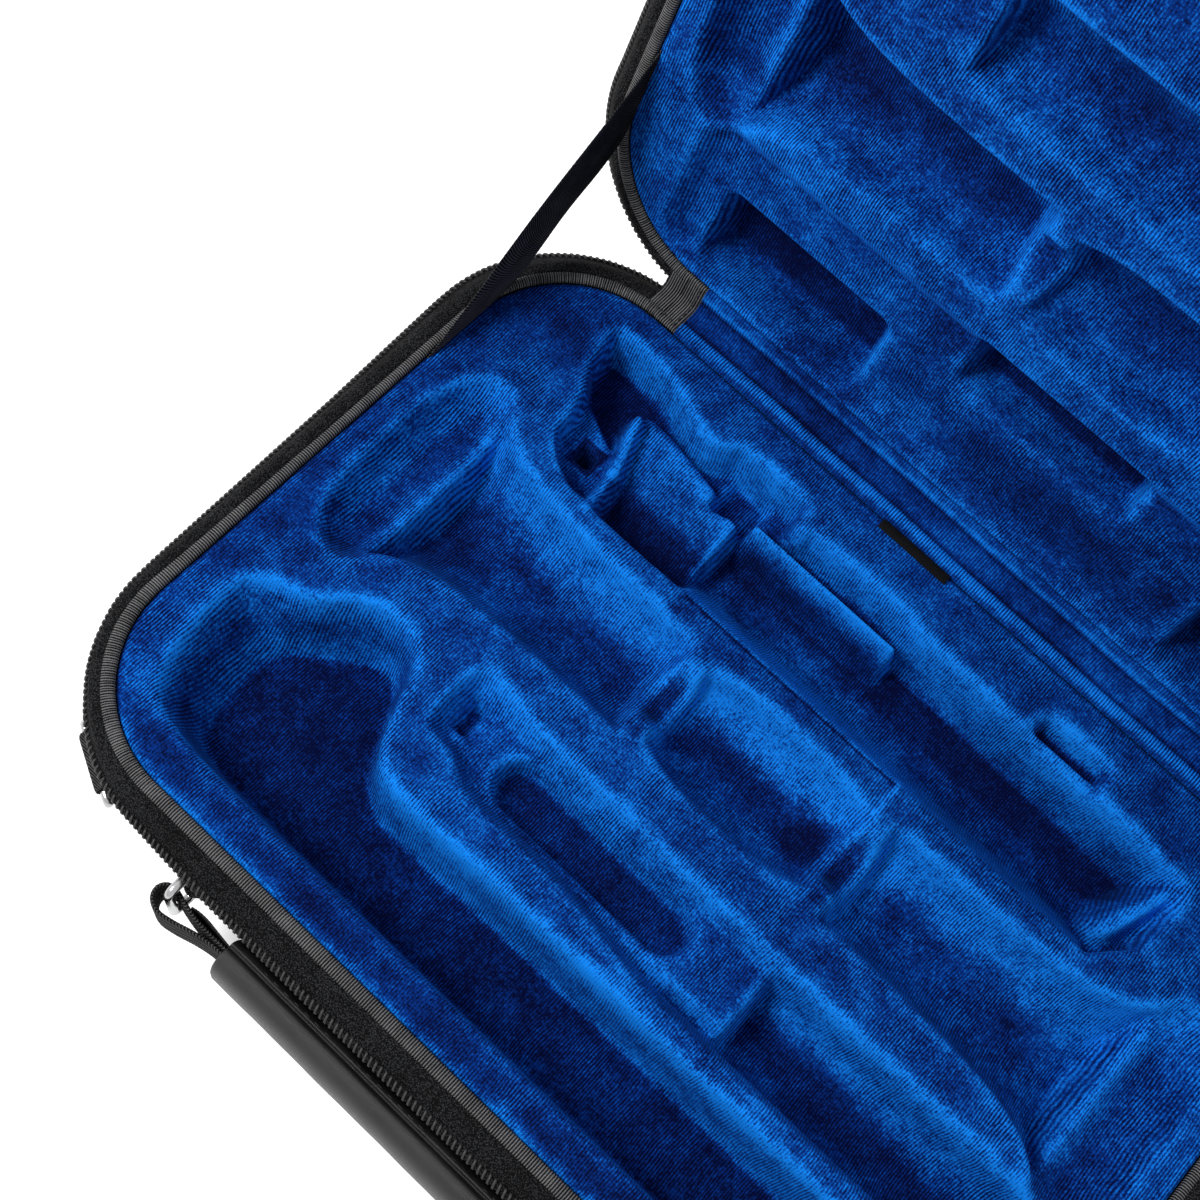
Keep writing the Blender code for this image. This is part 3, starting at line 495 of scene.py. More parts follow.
keys_line = [(-98, 45.8), (-104, 46.4), (-111, 46.8), (-118.5, 50), (-124.5, 55), (-127.4, 60), (-127.4, 66),
             (-130.6, 77), (-135.6, 85), (-137, 93), (-138.6, 99.5), (-137, 102.6), (-126, 103), (-112, 102),
             (-104, 99.6), (-97, 96.4), (-91, 94.4), (-86, 94.4), (-81.5, 96.6), (-78.5, 99.8), (-70, 101),
             (-62, 101), (-49.5, 101), (-48, 99), (-46.5, 92.5), (-44, 91.5), (-41, 93.8), (-20, 94.6), (0, 94.8),
             (3.4, 93.2), (7, 92.4), (36, 92), (51, 91.8), (60, 91.4), (84, 91), (107, 90), (124, 88), (126, 78),
             (124, 60), (112, 47), (36, 46.6), (-56, 46.2), (-80, 45.6)]
notch_line = [(54, 92.6), (53.2, 97), (56, 101), (79, 101.6), (82.6, 100), (82.4, 93.4), (78, 92.6)]
notch_foot = [(52, 88), (84, 88), (84, 92.9), (52, 92.9)]

# The thin ridge round the socket in the lower joint recess, in two lengths, and the wedge at its right end
socket_ridges = (((-100.5, 45), (-103.6, 64), (0, 6, 8)), ((-103.6, 64), (-110.4, 83.5), (8, 7.5, 6, 3.5)))
wedge_ridge = ((112.5, 63), (121, 86), (9, 5, 3))


def land_crease(y, width, x):
    """The crease in the land between the bell row and the lower joint recess."""
    return hump(y, 46.2, width) * (x > -57) * (x < 33)


def lower_joint(x, y):
    """A landing and a deep pocket at the left end, a step, a long trough and a wedge at the right end."""
    within = inside(x, y, keys_line)
    wall = np.clip((within - 1.1) * 7.5, 0, 60)
    step = np.interp(y, [44, 59, 61, 68, 76, 83, 87.5, 89.5, 91, 104], [20, 20, 19.4, 17.6, 14.2, 10.6, 9, 11, 17, 17])
    step = np.maximum(step, 22 * ease(x, -76.5, 4) * ease(y - 0.2 * (x + 76), 79, 2.5))
    round_floor = np.interp(y, [44, 46.6, 48, 50, 52, 55, 58, 62, 67, 74, 80, 85, 88, 104],
                            [0, 0.6, 2.2, 5.4, 9.6, 16, 21.4, 27, 30, 30, 29.4, 28.4, 27.6, 24])
    ridged = np.minimum(round_floor, np.interp(y, [60, 78.6, 81.2, 83.8, 84.8, 86.0, 104],
                                               [60, 29, 16, 6.5, 6.0, 16, 18]))

    def change(before, after, share):
        return before * (1 - share) + after * share

    long_part = change(round_floor, ridged, ease(-x, -7, 2.5) * ease(x, -59.5, 2))
    pocket_floor = 12.5 + 6.5 * ease(y + 0.47 * (x + 123.3), 77, 1.6)
    floor = change(pocket_floor, step, ease(x + 0.36 * np.maximum(y - 64, 0), -103.4, 1.2))
    floor = np.maximum(floor, 18 * ease(y + 0.16 * (x + 104), 89.6, 1.6) * ease(-x, 74, 2))
    floor = change(floor, long_part, ease(x, -62, 2.4))
    floor = change(floor, np.interp(x, [110, 117, 125], [21, 15, 24]), ease(x, 110.5, 2))
    floor = np.minimum(floor, spur(x, y, *wedge_ridge, 2.4, 3.0))
    for ridge in socket_ridges:
        floor = np.minimum(floor, spur(x, y, *ridge, 1.9, 4.2))
    socket = np.where(within > 0, box(x, y, -119.6, -110.6, 59.4, 68.6, 25, 0.8, 85), 0)
    notch = np.clip((inside(x, y, notch_line) - 0.8) * 8, 0, 9.5)
    foot = np.clip(inside(x, y, notch_foot) * 3, 0, 4.5)
    strip = soft_patch(x, y, -59, 34, 33, 47.6, 1.0) + 1.3 * land_crease(y, 0.6, x)
    return np.maximum.reduce([np.minimum(wall, floor), socket, notch, foot, strip])


def upper_joint(x, y):
    """A shelf with a small pocket at its left end, an oval slot and a deep end."""
    shelf = pocket(inside(x, y, smooth(shelf_line)), 8.5, 62)
    slot = box(x, y, -61, 20, -45.4, -26.4, 18, 9.4, 85)
    left_pocket = box(x, y, -84, -74.5, -37.5, -22.5, 17, 2.0, 82)
    left_step = box(x, y, -87, -67, -41, -19.5, 12, 3.0, 66)
    front = np.where((x > -40) & (x < 44), pocket(inside(x, y, smooth(shelf_front, 4)), 15, 76), 0)
    ends = pocket(np.minimum(x - 43, 158 - x), 40, 80)
    deep = np.where(x > 43, np.minimum(trough(y + 39, 14.5, 26), ends), 0)
    return np.maximum.reduce([shelf, slot, left_pocket, left_step, front, deep])


def well_share(x, y):
    """How far down the accessory well's walls a point lies: 0 outside its top outline, 1 on its floor."""
    top_in = np.maximum(inside(x, y, smooth(well_top)), 0)
    floor_in = inside(x, y, smooth(well_floor))
    return np.where(floor_in > 0, 1.0, top_in / np.maximum(top_in - np.minimum(floor_in, 0), 1e-9))


def base_depth(x, reach):
    y = hinge_y / mm - reach
    return np.maximum.reduce([bell_row(x, reach), lower_joint(x, y), upper_joint(x, y), 29 * well_share(x, y)])


def lid_depth(x, reach):
    def lid_box(x0, x1, r0, r1, depth, corner, slope=80):
        return box(x, reach, x0, x1, r0, r1, depth, corner, slope)

    upper = trough(reach - 161.5, 18, 15) * ((x > -86) & (x < 158))
    return np.maximum.reduce([bell_row(x, reach), lid_box(-150, 150, 12.5, 74, 5.5, 12, 40),
                              lid_box(-135, -64.5, 14.5, 48, 21, 5), lid_box(64.5, 135, 14.5, 48, 21, 5),
                              lid_box(-40, 30, 47, 73, 19, 3), upper])


# Boxes, (x0, x1, y0, y1), that hold the base's thin ridges, which keep a sharper crest
thin_boxes = ((-61, 9, 79.5, 89.5), (-125, -95.5, 48, 86), (51, 85, 87.4, 93.2), (-67, -57, 47, 82),
              (-60, 35, 43, 52), (107, 127, 58, 90), (-94, -72, -43, -18))

# Patches of painted highlight and painted shade on the pile: strength, then x0, x1, y0, y1 and fade
base_shading_patches = ((-0.60, -120.4, -109.8, 58.6, 69.4, 0.5), (-0.16, -103, -62, 47, 66, 2), (0.12, -108, -60, 67, 88, 3),
                (-0.16, -136, -108, 76, 100, 4), (0.10, -128, -109, 48, 76, 3), (-0.50, 55.6, 80.6, 93.2, 99, 1.2),
                (-0.22, 6, 113, 73, 88.6, 2.5), (0.30, 33, 35.4, 33, 50, 1), (0.30, 42, 60, -6, 40, 8),
                (-0.08, -60, 60, 34, 47, 4))
lid_shading_patches = ((0.10, -70, -20, 14, 60, 10), (-0.08, -170, 170, 20, 46, 10), (-0.20, -37, 27, 50, 71, 3),
               (-0.16, -133, -67, 20, 45, 3), (-0.10, -62, 62, 16, 44, 6))


def patches(x, y, table):
    return sum(strength * soft_patch(x, y, *area) for strength, *area in table)


def base_painted_shading(x, reach):
    """Painted light and shade on the base's pile: lighter and darker areas, added to its tone."""
    y = hinge_y / mm - reach
    share = well_share(x, y)
    right_fade = 1 - 0.55 * ease(x, 10, 60)
    tone = patches(x, y, base_shading_patches)
    tone += right_fade * (0.20 * soft_patch(x, y, -61, 118, 52, 76, 7)
                          + 0.46 * hump(y, 51.5, 4.5) * soft_patch(x, y, -60, 112, 46.6, 80, 0.6))
    tone += soft_patch(x, y, -60, 7, 60, 100, 2) * (0.30 * hump(y, 83.9, 0.9) - 0.46 * hump(y, 79.6, 2.4)
                                                    - 0.40 * hump(y, 87.0, 1.2))
    for a, b, _ in socket_ridges:
        tone += 0.22 * hump(spur(x, y, a, b, (0, 0), 0, 1), 0, 1.8)
    # Painted shade in the saddles beside the barrel and in the land crease
    tone -= 0.30 * soft_patch(np.abs(x), y, 35, 42.4, -2, 30, 1.6) + 0.55 * land_crease(y, 0.5, x)
    # Painted highlight along the top of the well's walls, painted shade halfway down them
    tone += 0.30 * hump(share, 0.06, 0.06) * (y < -40) * (share > 0.002) - 0.20 * hump(share, 0.50, 0.20)
    tone -= 0.19 * ease(-y, 98, 4) + 0.06 * ease(-x, 160, 5)
    tone += 0.10 * hump(y, 16, 22) * (np.abs(x) < 136)
    # Painted light and shade inside the barrel
    barrel_tone = 0.22 * hump(y, 30, 6) + 0.10 * hump(y, 4, 7)
    barrel_tone -= 0.15 * hump(x, -9, 14) * hump(y, 19, 7) + 0.42 * hump(x, 24, 7) * hump(y, 17, 9)
    tone += (np.abs(x) < 34) * barrel_tone
    return tone - 0.16 * hump(x, -126, 12) * hump(y, 6, 20) - 0.10 * hump(x, -150, 40) * hump(y, 96, 16)


def lid_painted_shading(x, reach):
    """Painted light and shade on the lid's pile."""
    tone = patches(x, reach, lid_shading_patches) + 0.10 * hump(reach, 80, 5) + 0.10 * hump(reach, 11.5, 1.5)
    return tone - 0.12 * (hump(reach, 14.5, 2.5) + hump(reach, 47.5, 2.5)) * (np.abs(x) < 140)


def ball_round(field, radius, grid):
    """Rounds the convex edges of a height field as a ball rolling below the surface would."""
    reach = int(radius / grid)
    steps = range(-reach, reach + 1)
    flats = [(i, j, (i * i + j * j) * grid * grid) for i in steps for j in steps]
    ball = [(i, j, math.sqrt(radius * radius - flat) - radius) for i, j, flat in flats if flat < radius * radius]
    low = np.minimum.reduce([np.roll(field, (i, j), (0, 1)) - drop for i, j, drop in ball])
    return np.maximum.reduce([np.roll(low, (i, j), (0, 1)) + drop for i, j, drop in ball])


def blur(field, sigma, grid):
    reach = max(1, int(3 * sigma / grid))
    weights = np.exp(-0.5 * (np.arange(-reach, reach + 1) * grid / sigma) ** 2)
    weights /= weights.sum()
    for axis in (0, 1):
        field = sum(w * np.roll(field, k - reach, axis) for k, w in enumerate(weights))
    return field


def liner(half, depth_of, painted_shading_of, thin, lean, grid=0.9, fine=2, edge_round=2.8, ridge_round=0.9, fillet=1.2,
          roll=1.8, border_cells=6):
    """A velvet face over foam, as one closed solid with its recesses pressed in. Its measures are millimetres."""
    drop_edge = (rim_margin + seat) / mm
    hx, hr, r = case_length / 2 / mm - drop_edge, case_width / 2 / mm - drop_edge, corner_radius / mm - drop_edge
    middle = middle_reach / mm
    small = grid / fine
    nx, nr = int(2 * hx / grid) + 2 * border_cells, int(2 * hr / grid) + 2 * border_cells
    xs = (np.arange(nx * fine + 1) - nx * fine / 2) * small
    rs = (np.arange(nr * fine + 1) - nr * fine / 2) * small
    x, from_middle = np.meshgrid(xs, rs, indexing="ij")
    reach = from_middle + middle
    raw = -depth_of(x, reach)
    y = hinge_y / mm - reach
    in_box = np.zeros(x.shape, bool)
    for x0, x1, y0, y1 in thin:
        in_box |= (x > x0) & (x < x1) & (y > y0) & (y < y1)
    ridges = ball_round(np.where(in_box, raw, raw.min()), ridge_round, small)
    raw = np.maximum(ball_round(raw, edge_round, small), ridges)
    height = blur(-ball_round(-raw, fillet, small), 0.45, small)
    outer = beyond_box(x, from_middle, hx, hr, r)
    height += np.sqrt(np.maximum(roll ** 2 - np.clip(outer + roll, 0, roll) ** 2, 0)) - roll

    # Painted light and shade in the pile's tone: a painted highlight on walls that face the given direction and on
    # crests, painted shade on deep floors
    dx, dr = np.gradient(height, small)
    steep = np.hypot(dx, dr)
    facing = (lean[0] * dx + lean[1] * dr) / (steep + 0.02)
    size = np.sqrt(1 + steep * steep)
    rise = steep / size
    wall = ease(rise, 0.25, 0.55)
    bend = 3.4 * (np.gradient(-dx / size, small, axis=0) + np.gradient(-dr / size, small, axis=1))
    crest = blur(np.clip(blur(bend, 0.9, small), 0, 1), 1.1, small)
    hollow = blur(np.clip(-blur(bend, 1.2, small), 0, 1), 0.9, small)
    lit = blur(np.clip(0.5 + 0.5 * facing * np.clip(rise * 3, 0, 1), 0, 1), 1.6, small)
    front = ease(from_middle, hr - 9, 3) if half == "base" else 0
    painted_shading = 0.34 + painted_shading_of(x, reach)
    # Painted light on the walls: brighter where they face the given direction, darker where they face away, dimmer
    # deeper down
    painted_shading += blur(wall * (-0.16 + 0.44 * lit) * (1 - 0.35 * ease(-height, 0, 26)), 0.9, small)
    # Painted highlight on crests; in hollows, painted light below lit walls and painted shade below the others
    painted_shading += crest * (0.16 + 0.48 * lit * lit) + hollow * (0.26 * lit * wall - 0.10 * (1 - lit))
    # Painted shade on deep floors
    painted_shading -= 0.26 * blur((1 - wall) * ease(-height, 9, 11), 1.2, small)
    # Painted highlight along the front edge of the base, painted shade along its other edges and the lid's edges
    painted_shading += (0.55 * front - 0.2) * ease(outer, -1.4, 1.4) - 0.10 * ease(outer, -5, 5) * (1 - front)

    x, from_middle, outer, height, painted_shading = (a[::fine, ::fine] for a in (x, from_middle, outer, height, painted_shading))
    keep = outer < 0
    cell = keep[:-1, :-1] | keep[1:, :-1] | keep[:-1, 1:] | keep[1:, 1:]
    used = np.zeros(x.shape, bool)
    for rows in (slice(None, -1), slice(1, None)):
        for columns in (slice(None, -1), slice(1, None)):
            used[rows, columns] |= cell
    over_x, over_r = np.maximum(np.abs(x) - (hx - r), 0), np.maximum(np.abs(from_middle) - (hr - r), 0)
    back = np.maximum(outer, 0) / np.maximum(np.hypot(over_x, over_r), 1e-6)
    points = np.stack([x - np.sign(x) * back * over_x, from_middle - np.sign(from_middle) * back * over_r + middle,
                       height], -1)[used]
    number = np.full(x.shape, -1)
    number[used] = np.arange(used.sum())
    faces = np.stack([number[:-1, :-1][cell], number[1:, :-1][cell], number[1:, 1:][cell], number[:-1, 1:][cell]], 1)
    obj = mesh_object(half + "_velvet", points * mm, faces.tolist(), None, half_at[half],
                      np.clip(painted_shading, 0, 1)[used])
    close_below(obj, half_at[half], (base_height if half == "base" else lid_height) - 5 * mm)
    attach(obj, half)
    dress(obj, velvet, half + "_liner")


def close_below(obj, matrix, depth):
    """Walls down from the open border of a liner face, and a floor that closes it."""
    bm = bmesh.new()
    bm.from_mesh(obj.data)
    made = bmesh.ops.extrude_edge_only(bm, edges=[e for e in bm.edges if e.is_boundary])["geom"]
    inverse = matrix.inverted()
    for v in made:
        if isinstance(v, bmesh.types.BMVert):
            local = inverse @ v.co
            local.z = -depth
            v.co = matrix @ local
    bmesh.ops.holes_fill(bm, edges=[e for e in bm.edges if e.is_boundary], sides=0)
    face_outward(bm, obj)


# The last argument is the direction whose facing walls get the painted highlight.
liner("base", base_depth, base_painted_shading, thin_boxes, (-0.55, -0.83))
liner("lid", lid_depth, lid_painted_shading, (), (0.62, 0.30))


# ---------------------------------------------------------------- rims
binding_profile = np.array([(-7.0, -1.6), (-7.05, -0.4), (-6.85, 0.35), (-6.3, 0.8), (-5.4, 1.02), (-4.4, 1.0),
                            (-3.6, 0.7), (-3.05, 0.2), (-2.95, -0.4), (-2.9, -1.6)])
rib_pitch, rib_depth = 0.9 * mm, 0.06
front_reach = 215
tape_drop = -0.75


def tape_hang(half, line):
    """Where the tape leaves the rim and how steeply it hangs: spread at the front, upright at the sides."""
    x, reach = np.abs(line[:, 0]) / mm, line[:, 1] / mm
    if half == "lid":
        return np.full(len(x), 0.9), np.radians(np.interp(reach, [0, 60, 260], [45, 58, 58]))
    front = reach > front_reach
    start = np.where(front, np.interp(x, [0, 100, 150, 165], [1.1, 1.1, 0.6, 0.35]),
                     np.interp(reach, [0, 60, 110, 190], [1.1, 1.1, 0.8, 0.35]))
    angle = np.where(front, np.interp(x, [0, 60, 100, 140, 165], [33, 33, 38, 60, 78]),
                     np.interp(reach, [0, 60, 110, 190, 215], [45, 47, 60, 68, 78]))
    return start, np.radians(angle)


def tape_sections(starts, angles):
    """The tape's section for each slope: flat over the rim, then down and outward, thinner at the teeth."""
    sections = []
    for start, angle in zip(starts, angles):
        c, s = math.cos(angle), math.sin(angle)
        hanging = [(start + d * c + h * s, tape_drop - d * s + h * c) for d, h in (
            (0.5, 0.45), (1.6, 0.42), (3.0, 0.40), (4.1, 0.42), (4.5, 0.22), (4.9, 0.42), (5.2, 0.45), (5.5, 0.95),
            (7.2, 0.95), (7.5, 0.1), (7.6, -0.3), (7.5, -0.5), (5.4, -0.5), (3.0, -0.45), (1.2, -0.45))]
        sections.append([(-4.3, -0.5), (-3.7, 0.12), (start - 2.6, 0.28), (start - 1.7, 0.28), (start - 0.8, 0.08),
                         *hanging, (start - 0.6, -1.35), (start - 1.3, -1.6), (-4.3, -1.6)])
    return np.array(sections) * mm


def binding_sections(half, line):
    """The binding's section, which covers more of the tape at the sides than at the front and the hinge."""
    x, reach = np.abs(line[:, 0]) / mm, line[:, 1] / mm
    wide = np.where(reach > front_reach, np.interp(x, [0, 110, 165], [1.15, 1.15, 1.12]),
                    np.interp(reach, [0, 60, 120, 170, 215], [0.92, 0.85, 0.80, 0.90, 1.12]))
    sections = np.repeat(binding_profile[None], len(line), 0)
    sections[..., 0] = -7 + (sections[..., 0] + 7) * (wide[:, None] if half == "base" else 1)
    return sections * mm


def coil_path(half, pitch=2.0 * mm, steps=12):
    """The way and the frames of a flattened spiral on the tape's edge, round three sides of the case."""
    line = rim_line(pitch / steps)
    outs, ups = frames_along(line)
    turn = np.arange(len(line)) * 2 * math.pi / steps
    starts, angles = tape_hang(half, line)
    c, s = np.cos(angles), np.sin(angles)
    a, b = 6.2 + 1.3 * np.cos(turn), 0.50 + 0.62 * np.sin(turn)
    out, up = starts + a * c + b * s, tape_drop - a * s + b * c
    path = line + (outs * out[:, None] + ups * up[:, None]) * mm
    way = unit(np.gradient(path, axis=0))
    side = unit(np.cross(way, np.gradient(line, axis=0)))
    return path, side, np.cross(way, side)


def rim(half):
    def ribs(along):
        return 1 + rib_depth * (np.abs(np.sin(np.pi * along / rib_pitch)) - 0.5)

    line = rim_line(0.3 * mm)
    binding = swept(line, *frames_along(line), binding_sections(half, line), ripple=ribs)
    line = rim_line(1.5 * mm)
    tape = swept(line, *frames_along(line), tape_sections(*tape_hang(half, line)))
    coil = swept(*coil_path(half), circle(0.50 * mm, 5))
    for name, piece, material, slot_name, node in (
            ("_grosgrain", binding, grosgrain, "binding", "_binding"),
            ("_tape", tape, pebbled, "zip_tape", "_zip_tape"),
            ("_coil", coil, coil_plastic, "zip_teeth", "_zip_teeth")):
        make(half + name, piece, material, half, half + node, half_at[half])


rim("base")
rim("lid")

# ---------------------------------------------------------------- fabric across the hinge
fold_edge = hinge_offset + rim_margin
lid_way = np.array([math.cos(lid_raise), math.sin(lid_raise)])
lid_out = np.array([-math.sin(lid_raise), math.cos(lid_raise)])


def make_bending(name, piece, material, node=None, painted_shading=None):
    """A piece drawn across the fold from the base to the lid, on no body, with its points in the world frame."""
    obj = make(name, piece, material, None, node, None, painted_shading)
    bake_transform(obj)


def across_fold(count, rise, round_by=3.0 * mm):
    """Points and normals in the hinge's (y, z) plane, from the base rim over the fold to the lid rim."""
    top = rise - hinge_rise
    knee = np.array([-top * math.tan(lid_raise / 2), top])
    first = np.array([-fold_edge, top])
    last = lid_way * fold_edge + lid_out * top
    a, b = knee + unit(first - knee) * round_by, knee + unit(last - knee) * round_by
    line = [first + (a - first) * t for t in np.linspace(0, 1, 12)]
    line += [(1 - t) ** 2 * a + 2 * t * (1 - t) * knee + t * t * b for t in np.linspace(0.1, 0.9, 7)]
    line = np.array(line + [b + (last - b) * t for t in np.linspace(0, 1, 12)])
    line = resample(line, lengths(line)[-1] / (count - 1))
    way = unit(np.gradient(line, axis=0))
    return line, np.stack([-way[:, 1], way[:, 0]], 1)


def over_hinge(x, line, out, lift):
    """A point grid along x that follows the fold, lifted off it."""
    place = line + out * np.broadcast_to(lift, (len(x), len(line)))[..., None] + (hinge_y, hinge_z)
    return np.concatenate([np.broadcast_to(x[:, None, None], (len(x), len(line), 1)), place], -1)


def hinge_spine():
    """Ribbed velvet glued over the hinge: a welt, two creases and an edge tucked under each liner."""
    pitch, columns, fold_length, steps_per_rib = 1.05 * mm, 46, 23.1, 6
    line, out = across_fold(columns, 0)
    u = np.linspace(0, fold_length, columns)[None]
    end = spine_half - 0.05 * mm
    x = np.linspace(-end, end, int(2 * spine_half / pitch * steps_per_rib))
    inward = np.clip((spine_half - np.abs(x)) / (26 * mm), 0, 1)[:, None]
    wander = 0.25 * np.sin(x / (31 * mm)) + 0.18 * np.sin(x / (9.7 * mm) + 1)
    v = u + wander[:, None]
    welt = np.clip(np.sin(np.pi * ease(v, 1, 5)), 0, 1) ** 0.7
    plump = welt * (0.5 + 0.5 * inward)
    rib = np.cos(2 * np.pi * x / pitch)[:, None]
    lift = plump - 0.8 * hump(v, 6.5, 0.45) - 0.7 * hump(v, 16.6, 0.45) + 0.35 * hump(v, 11.0, 3.0)
    lift += 0.45 * hump(v, 19.4, 1.6) - 0.5 * (1 - inward) * hump(v, 3.4, 0.5) + 0.10 * rib
    lift -= 0.9 * ease(-u, -1, 1) + 0.9 * ease(u, 22.3, 0.8)
    # Painted highlight on the welt, the rib tops and near the lid, painted shade in the two creases
    painted_shading = 0.33 + 0.34 * plump - 0.30 * hump(v, 6.5, 0.9) - 0.30 * hump(v, 16.6, 0.9)
    painted_shading += 0.30 * hump(v, 19.6, 1.5) - 0.08 * hump(v, 13.5, 2.5) + 0.34 * rib * (0.5 + welt)
    piece = grid_piece(over_hinge(x, line, out, lift * mm), over_hinge(x, line, out, -1.5 * mm),
                       np.zeros((*lift.shape, 2)))
    make_bending("spine_velvet", piece, spine_velvet, "hinge_spine",
                 painted_shading=np.tile(np.clip(painted_shading, 0, 1).ravel(), 2))


def hinge_tab(side, sign):
    """A folded grosgrain tab sewn over the end of the spine, with a row of stitches at two edges."""
    half_width, pitch, columns = 7.15 * mm, 0.95 * mm, 34
    middle = sign * (spine_half + 7.2 * mm)
    line, out = across_fold(columns, 0.5 * mm)
    across = np.linspace(-1, 1, 97)
    x = middle + across * half_width
    inner = ease(-sign * across, 0.05, 0.95)
    lift = -0.55 * np.abs(across) ** 10 + 0.05 * np.cos(2 * np.pi * x / pitch)
    lift += 0.35 / (1 + np.exp(-(inner - 0.42) * 60))
    lift = lift[:, None] - 0.25 * hump(np.arange(columns), 4.2, 0.9)
    lift[:, [0, -1]] -= 0.5
    uvs = np.stack(np.meshgrid(x, np.linspace(0, 24 * mm, columns), indexing="ij"), -1)
    piece = grid_piece(over_hinge(x, line, out, lift * mm), over_hinge(x, line, out, -2.0 * mm), uvs)
    make_bending(f"hinge_tab_{side}_cloth", piece, grosgrain, "hinge_tab_" + side)

    def spot(at_x, t, rise):
        k = t * (columns - 1)
        i = int(k)
        point = line[i] + (line[i + 1] - line[i]) * (k - i) + out[i] * rise
        return at_x, hinge_y + point[0], hinge_z + point[1]

    inner_x = middle - sign * (half_width - 2.0 * mm)
    stitches = [[spot(inner_x, t + half, 0.9 * mm) for half in (-0.040, 0.040)] for t in np.arange(0.09, 0.93, 0.118)]
    stitches += [[spot(inner_x + (sign * (2.2 + 3.1 * k) + half) * mm, 0.115, 0.55 * mm) for half in (-1, 1)]
                 for k in range(3)]
    make_bending(f"hinge_tab_{side}_stitches", thread_runs(stitches, 0.24 * mm), thread)


def thread_runs(runs, radius, sag=0.6):
    """Short sewn stitches: each run is a thread that dips into the cloth at both ends."""
    parts = []
    t = np.linspace(-1, 1, 7)
    thick = np.sqrt(np.clip(1 - t ** 6, 0.12, 1))
    for start, end in np.array(runs, float):
        way = unit(end - start)
        side = unit(np.cross(way, (0.3, 0.2, 0.93)))
        up = np.cross(side, way)
        up = up if up[2] > 0 else -up
        centres = (start + end) / 2 + (end - start) / 2 * t[:, None] - up * (sag * radius * t[:, None] ** 4)
        parts.append(swept(centres, np.tile(side, (7, 1)), np.tile(up, (7, 1)), circle(radius, 6),
                           ripple=lambda along: thick))
    return merged(parts)


def stay(side, sign):
    """A twill strap drawn taut between the rims, with a woven, slightly frayed edge."""
    reach, half_width, width, pitch = 0.2393 * case_width, 20.25 * mm, 24.9 * mm, 1.15 * mm
    level = seat - hinge_rise - 0.4 * mm
    u, v = np.linspace(0, 1, 330)[:, None, None], np.linspace(0, 1, 73)[None, :, None]
    ends = [(np.array([-at, level]), lid_way * at + lid_out * level) for at in (reach + half_width, reach - half_width)]
    along, across = u * np.linalg.norm(ends[0][1] - ends[0][0]), v * width
    side_share = 2 * v - 1
    fray = 0.22 * mm * np.sin(2 * np.pi * along / pitch) + 0.12 * mm * np.sin(along / (0.31 * mm) + 2)
    share = 0.5 + (v - 0.5 + fray / width * side_share ** 15) * (1 - 0.05 * np.sin(np.pi * u) ** 2)
    outer, inner = (low * (1 - u) + high * u for low, high in ends)
    place = outer * (1 - share) + inner * share + (hinge_y, hinge_z)
    rib = 0.11 * mm * np.cos(2 * np.pi * (along + 0.75 * across) / pitch)
    roll = 0.25 * mm * np.sin(3 * np.pi * u) + 0.35 * mm * side_share * np.sin(np.pi * u)
    soft = 1 - side_share ** 12
    middle = sign * (case_length / 2 - rim_margin - seat - 0.75 * mm - roll)
    half = 0.42 * mm * soft + 0.1 * mm + rib * soft
    grids = [np.concatenate([middle + face * half, place], -1) for face in (1, -1)]
    uvs = np.concatenate(np.broadcast_arrays(along, across), -1)
    make_bending(f"stay_{side}_webbing", grid_piece(*grids, uvs), twill, "stay_strap_" + side)


def seam_tab():
    """A bare woven tab, folded and caught in the hinge seam."""
    width, length, middle, count = 3.8 * mm, 29 * mm, -13 * mm, 90
    profile = [(-1.9, 0.0), (-1.85, 0.30), (-1.5, 0.42), (0.0, 0.50), (1.5, 0.44), (1.88, 0.25), (1.9, 0.0),
               (1.5, -0.08), (0, -0.1), (-1.5, -0.08)]
    line = np.stack([np.linspace(middle - length / 2, middle + length / 2, count),
                     np.full(count, case_width / 2 - rim_margin - width / 2 - seat),
                     base_height + seat + (0.12 + 0.10 * np.sin(np.linspace(0, 5, count))) * mm], 1)
    outs, ups = np.tile((0, 1, 0), (count, 1)), np.tile((0, 0, 1), (count, 1))
    make("seam_tab_cloth", swept(line, outs, ups, np.array(profile) * mm), satin, "base", "seam_tab")


hinge_spine()
for side_name, side_sign in sides:
    hinge_tab(side_name, side_sign)
    stay(side_name, side_sign)
seam_tab()


# ---------------------------------------------------------------- handle and strap rings
def flat_strap(path, width, thickness, lean=0.0, weave=1.1 * mm):
    """A woven strap on edge: its path lies in the XY plane and its width stands along Z."""
    way = unit(np.gradient(path, axis=0))
    out = np.stack([way[:, 1], -way[:, 0]], 1)[:, None]
    along = lengths(path)[:, None]
    v = np.linspace(-1, 1, 41)[None]
    soft = np.sqrt(np.clip(1 - np.abs(v) ** 14, 0.02, 1))
    half = (thickness / 2 + 0.06 * mm * np.cos(2 * np.pi * (along + v * width / 4) / weave)) * soft
    fray = 0.10 * mm * np.sin(2 * np.pi * along / weave)
    height = v * (width / 2 + fray * np.abs(v) ** 15)
    grids = [np.concatenate([path[:, None] + out * (face * half + lean * v)[..., None], height[..., None]], -1)
             for face in (1, -1)]
    return grid_piece(*grids, np.stack(np.broadcast_arrays(along, v * width / 2), -1))


def wire(points, radius, plane):
    """A closed round wire along a flat path, whose plane has the given normal."""
    way = unit(np.roll(points, -1, 0) - np.roll(points, 1, 0))
    plane = np.tile(plane, (len(points), 1))
    return swept(points, np.cross(way, plane), plane, circle(radius, 20), closed_path=True)


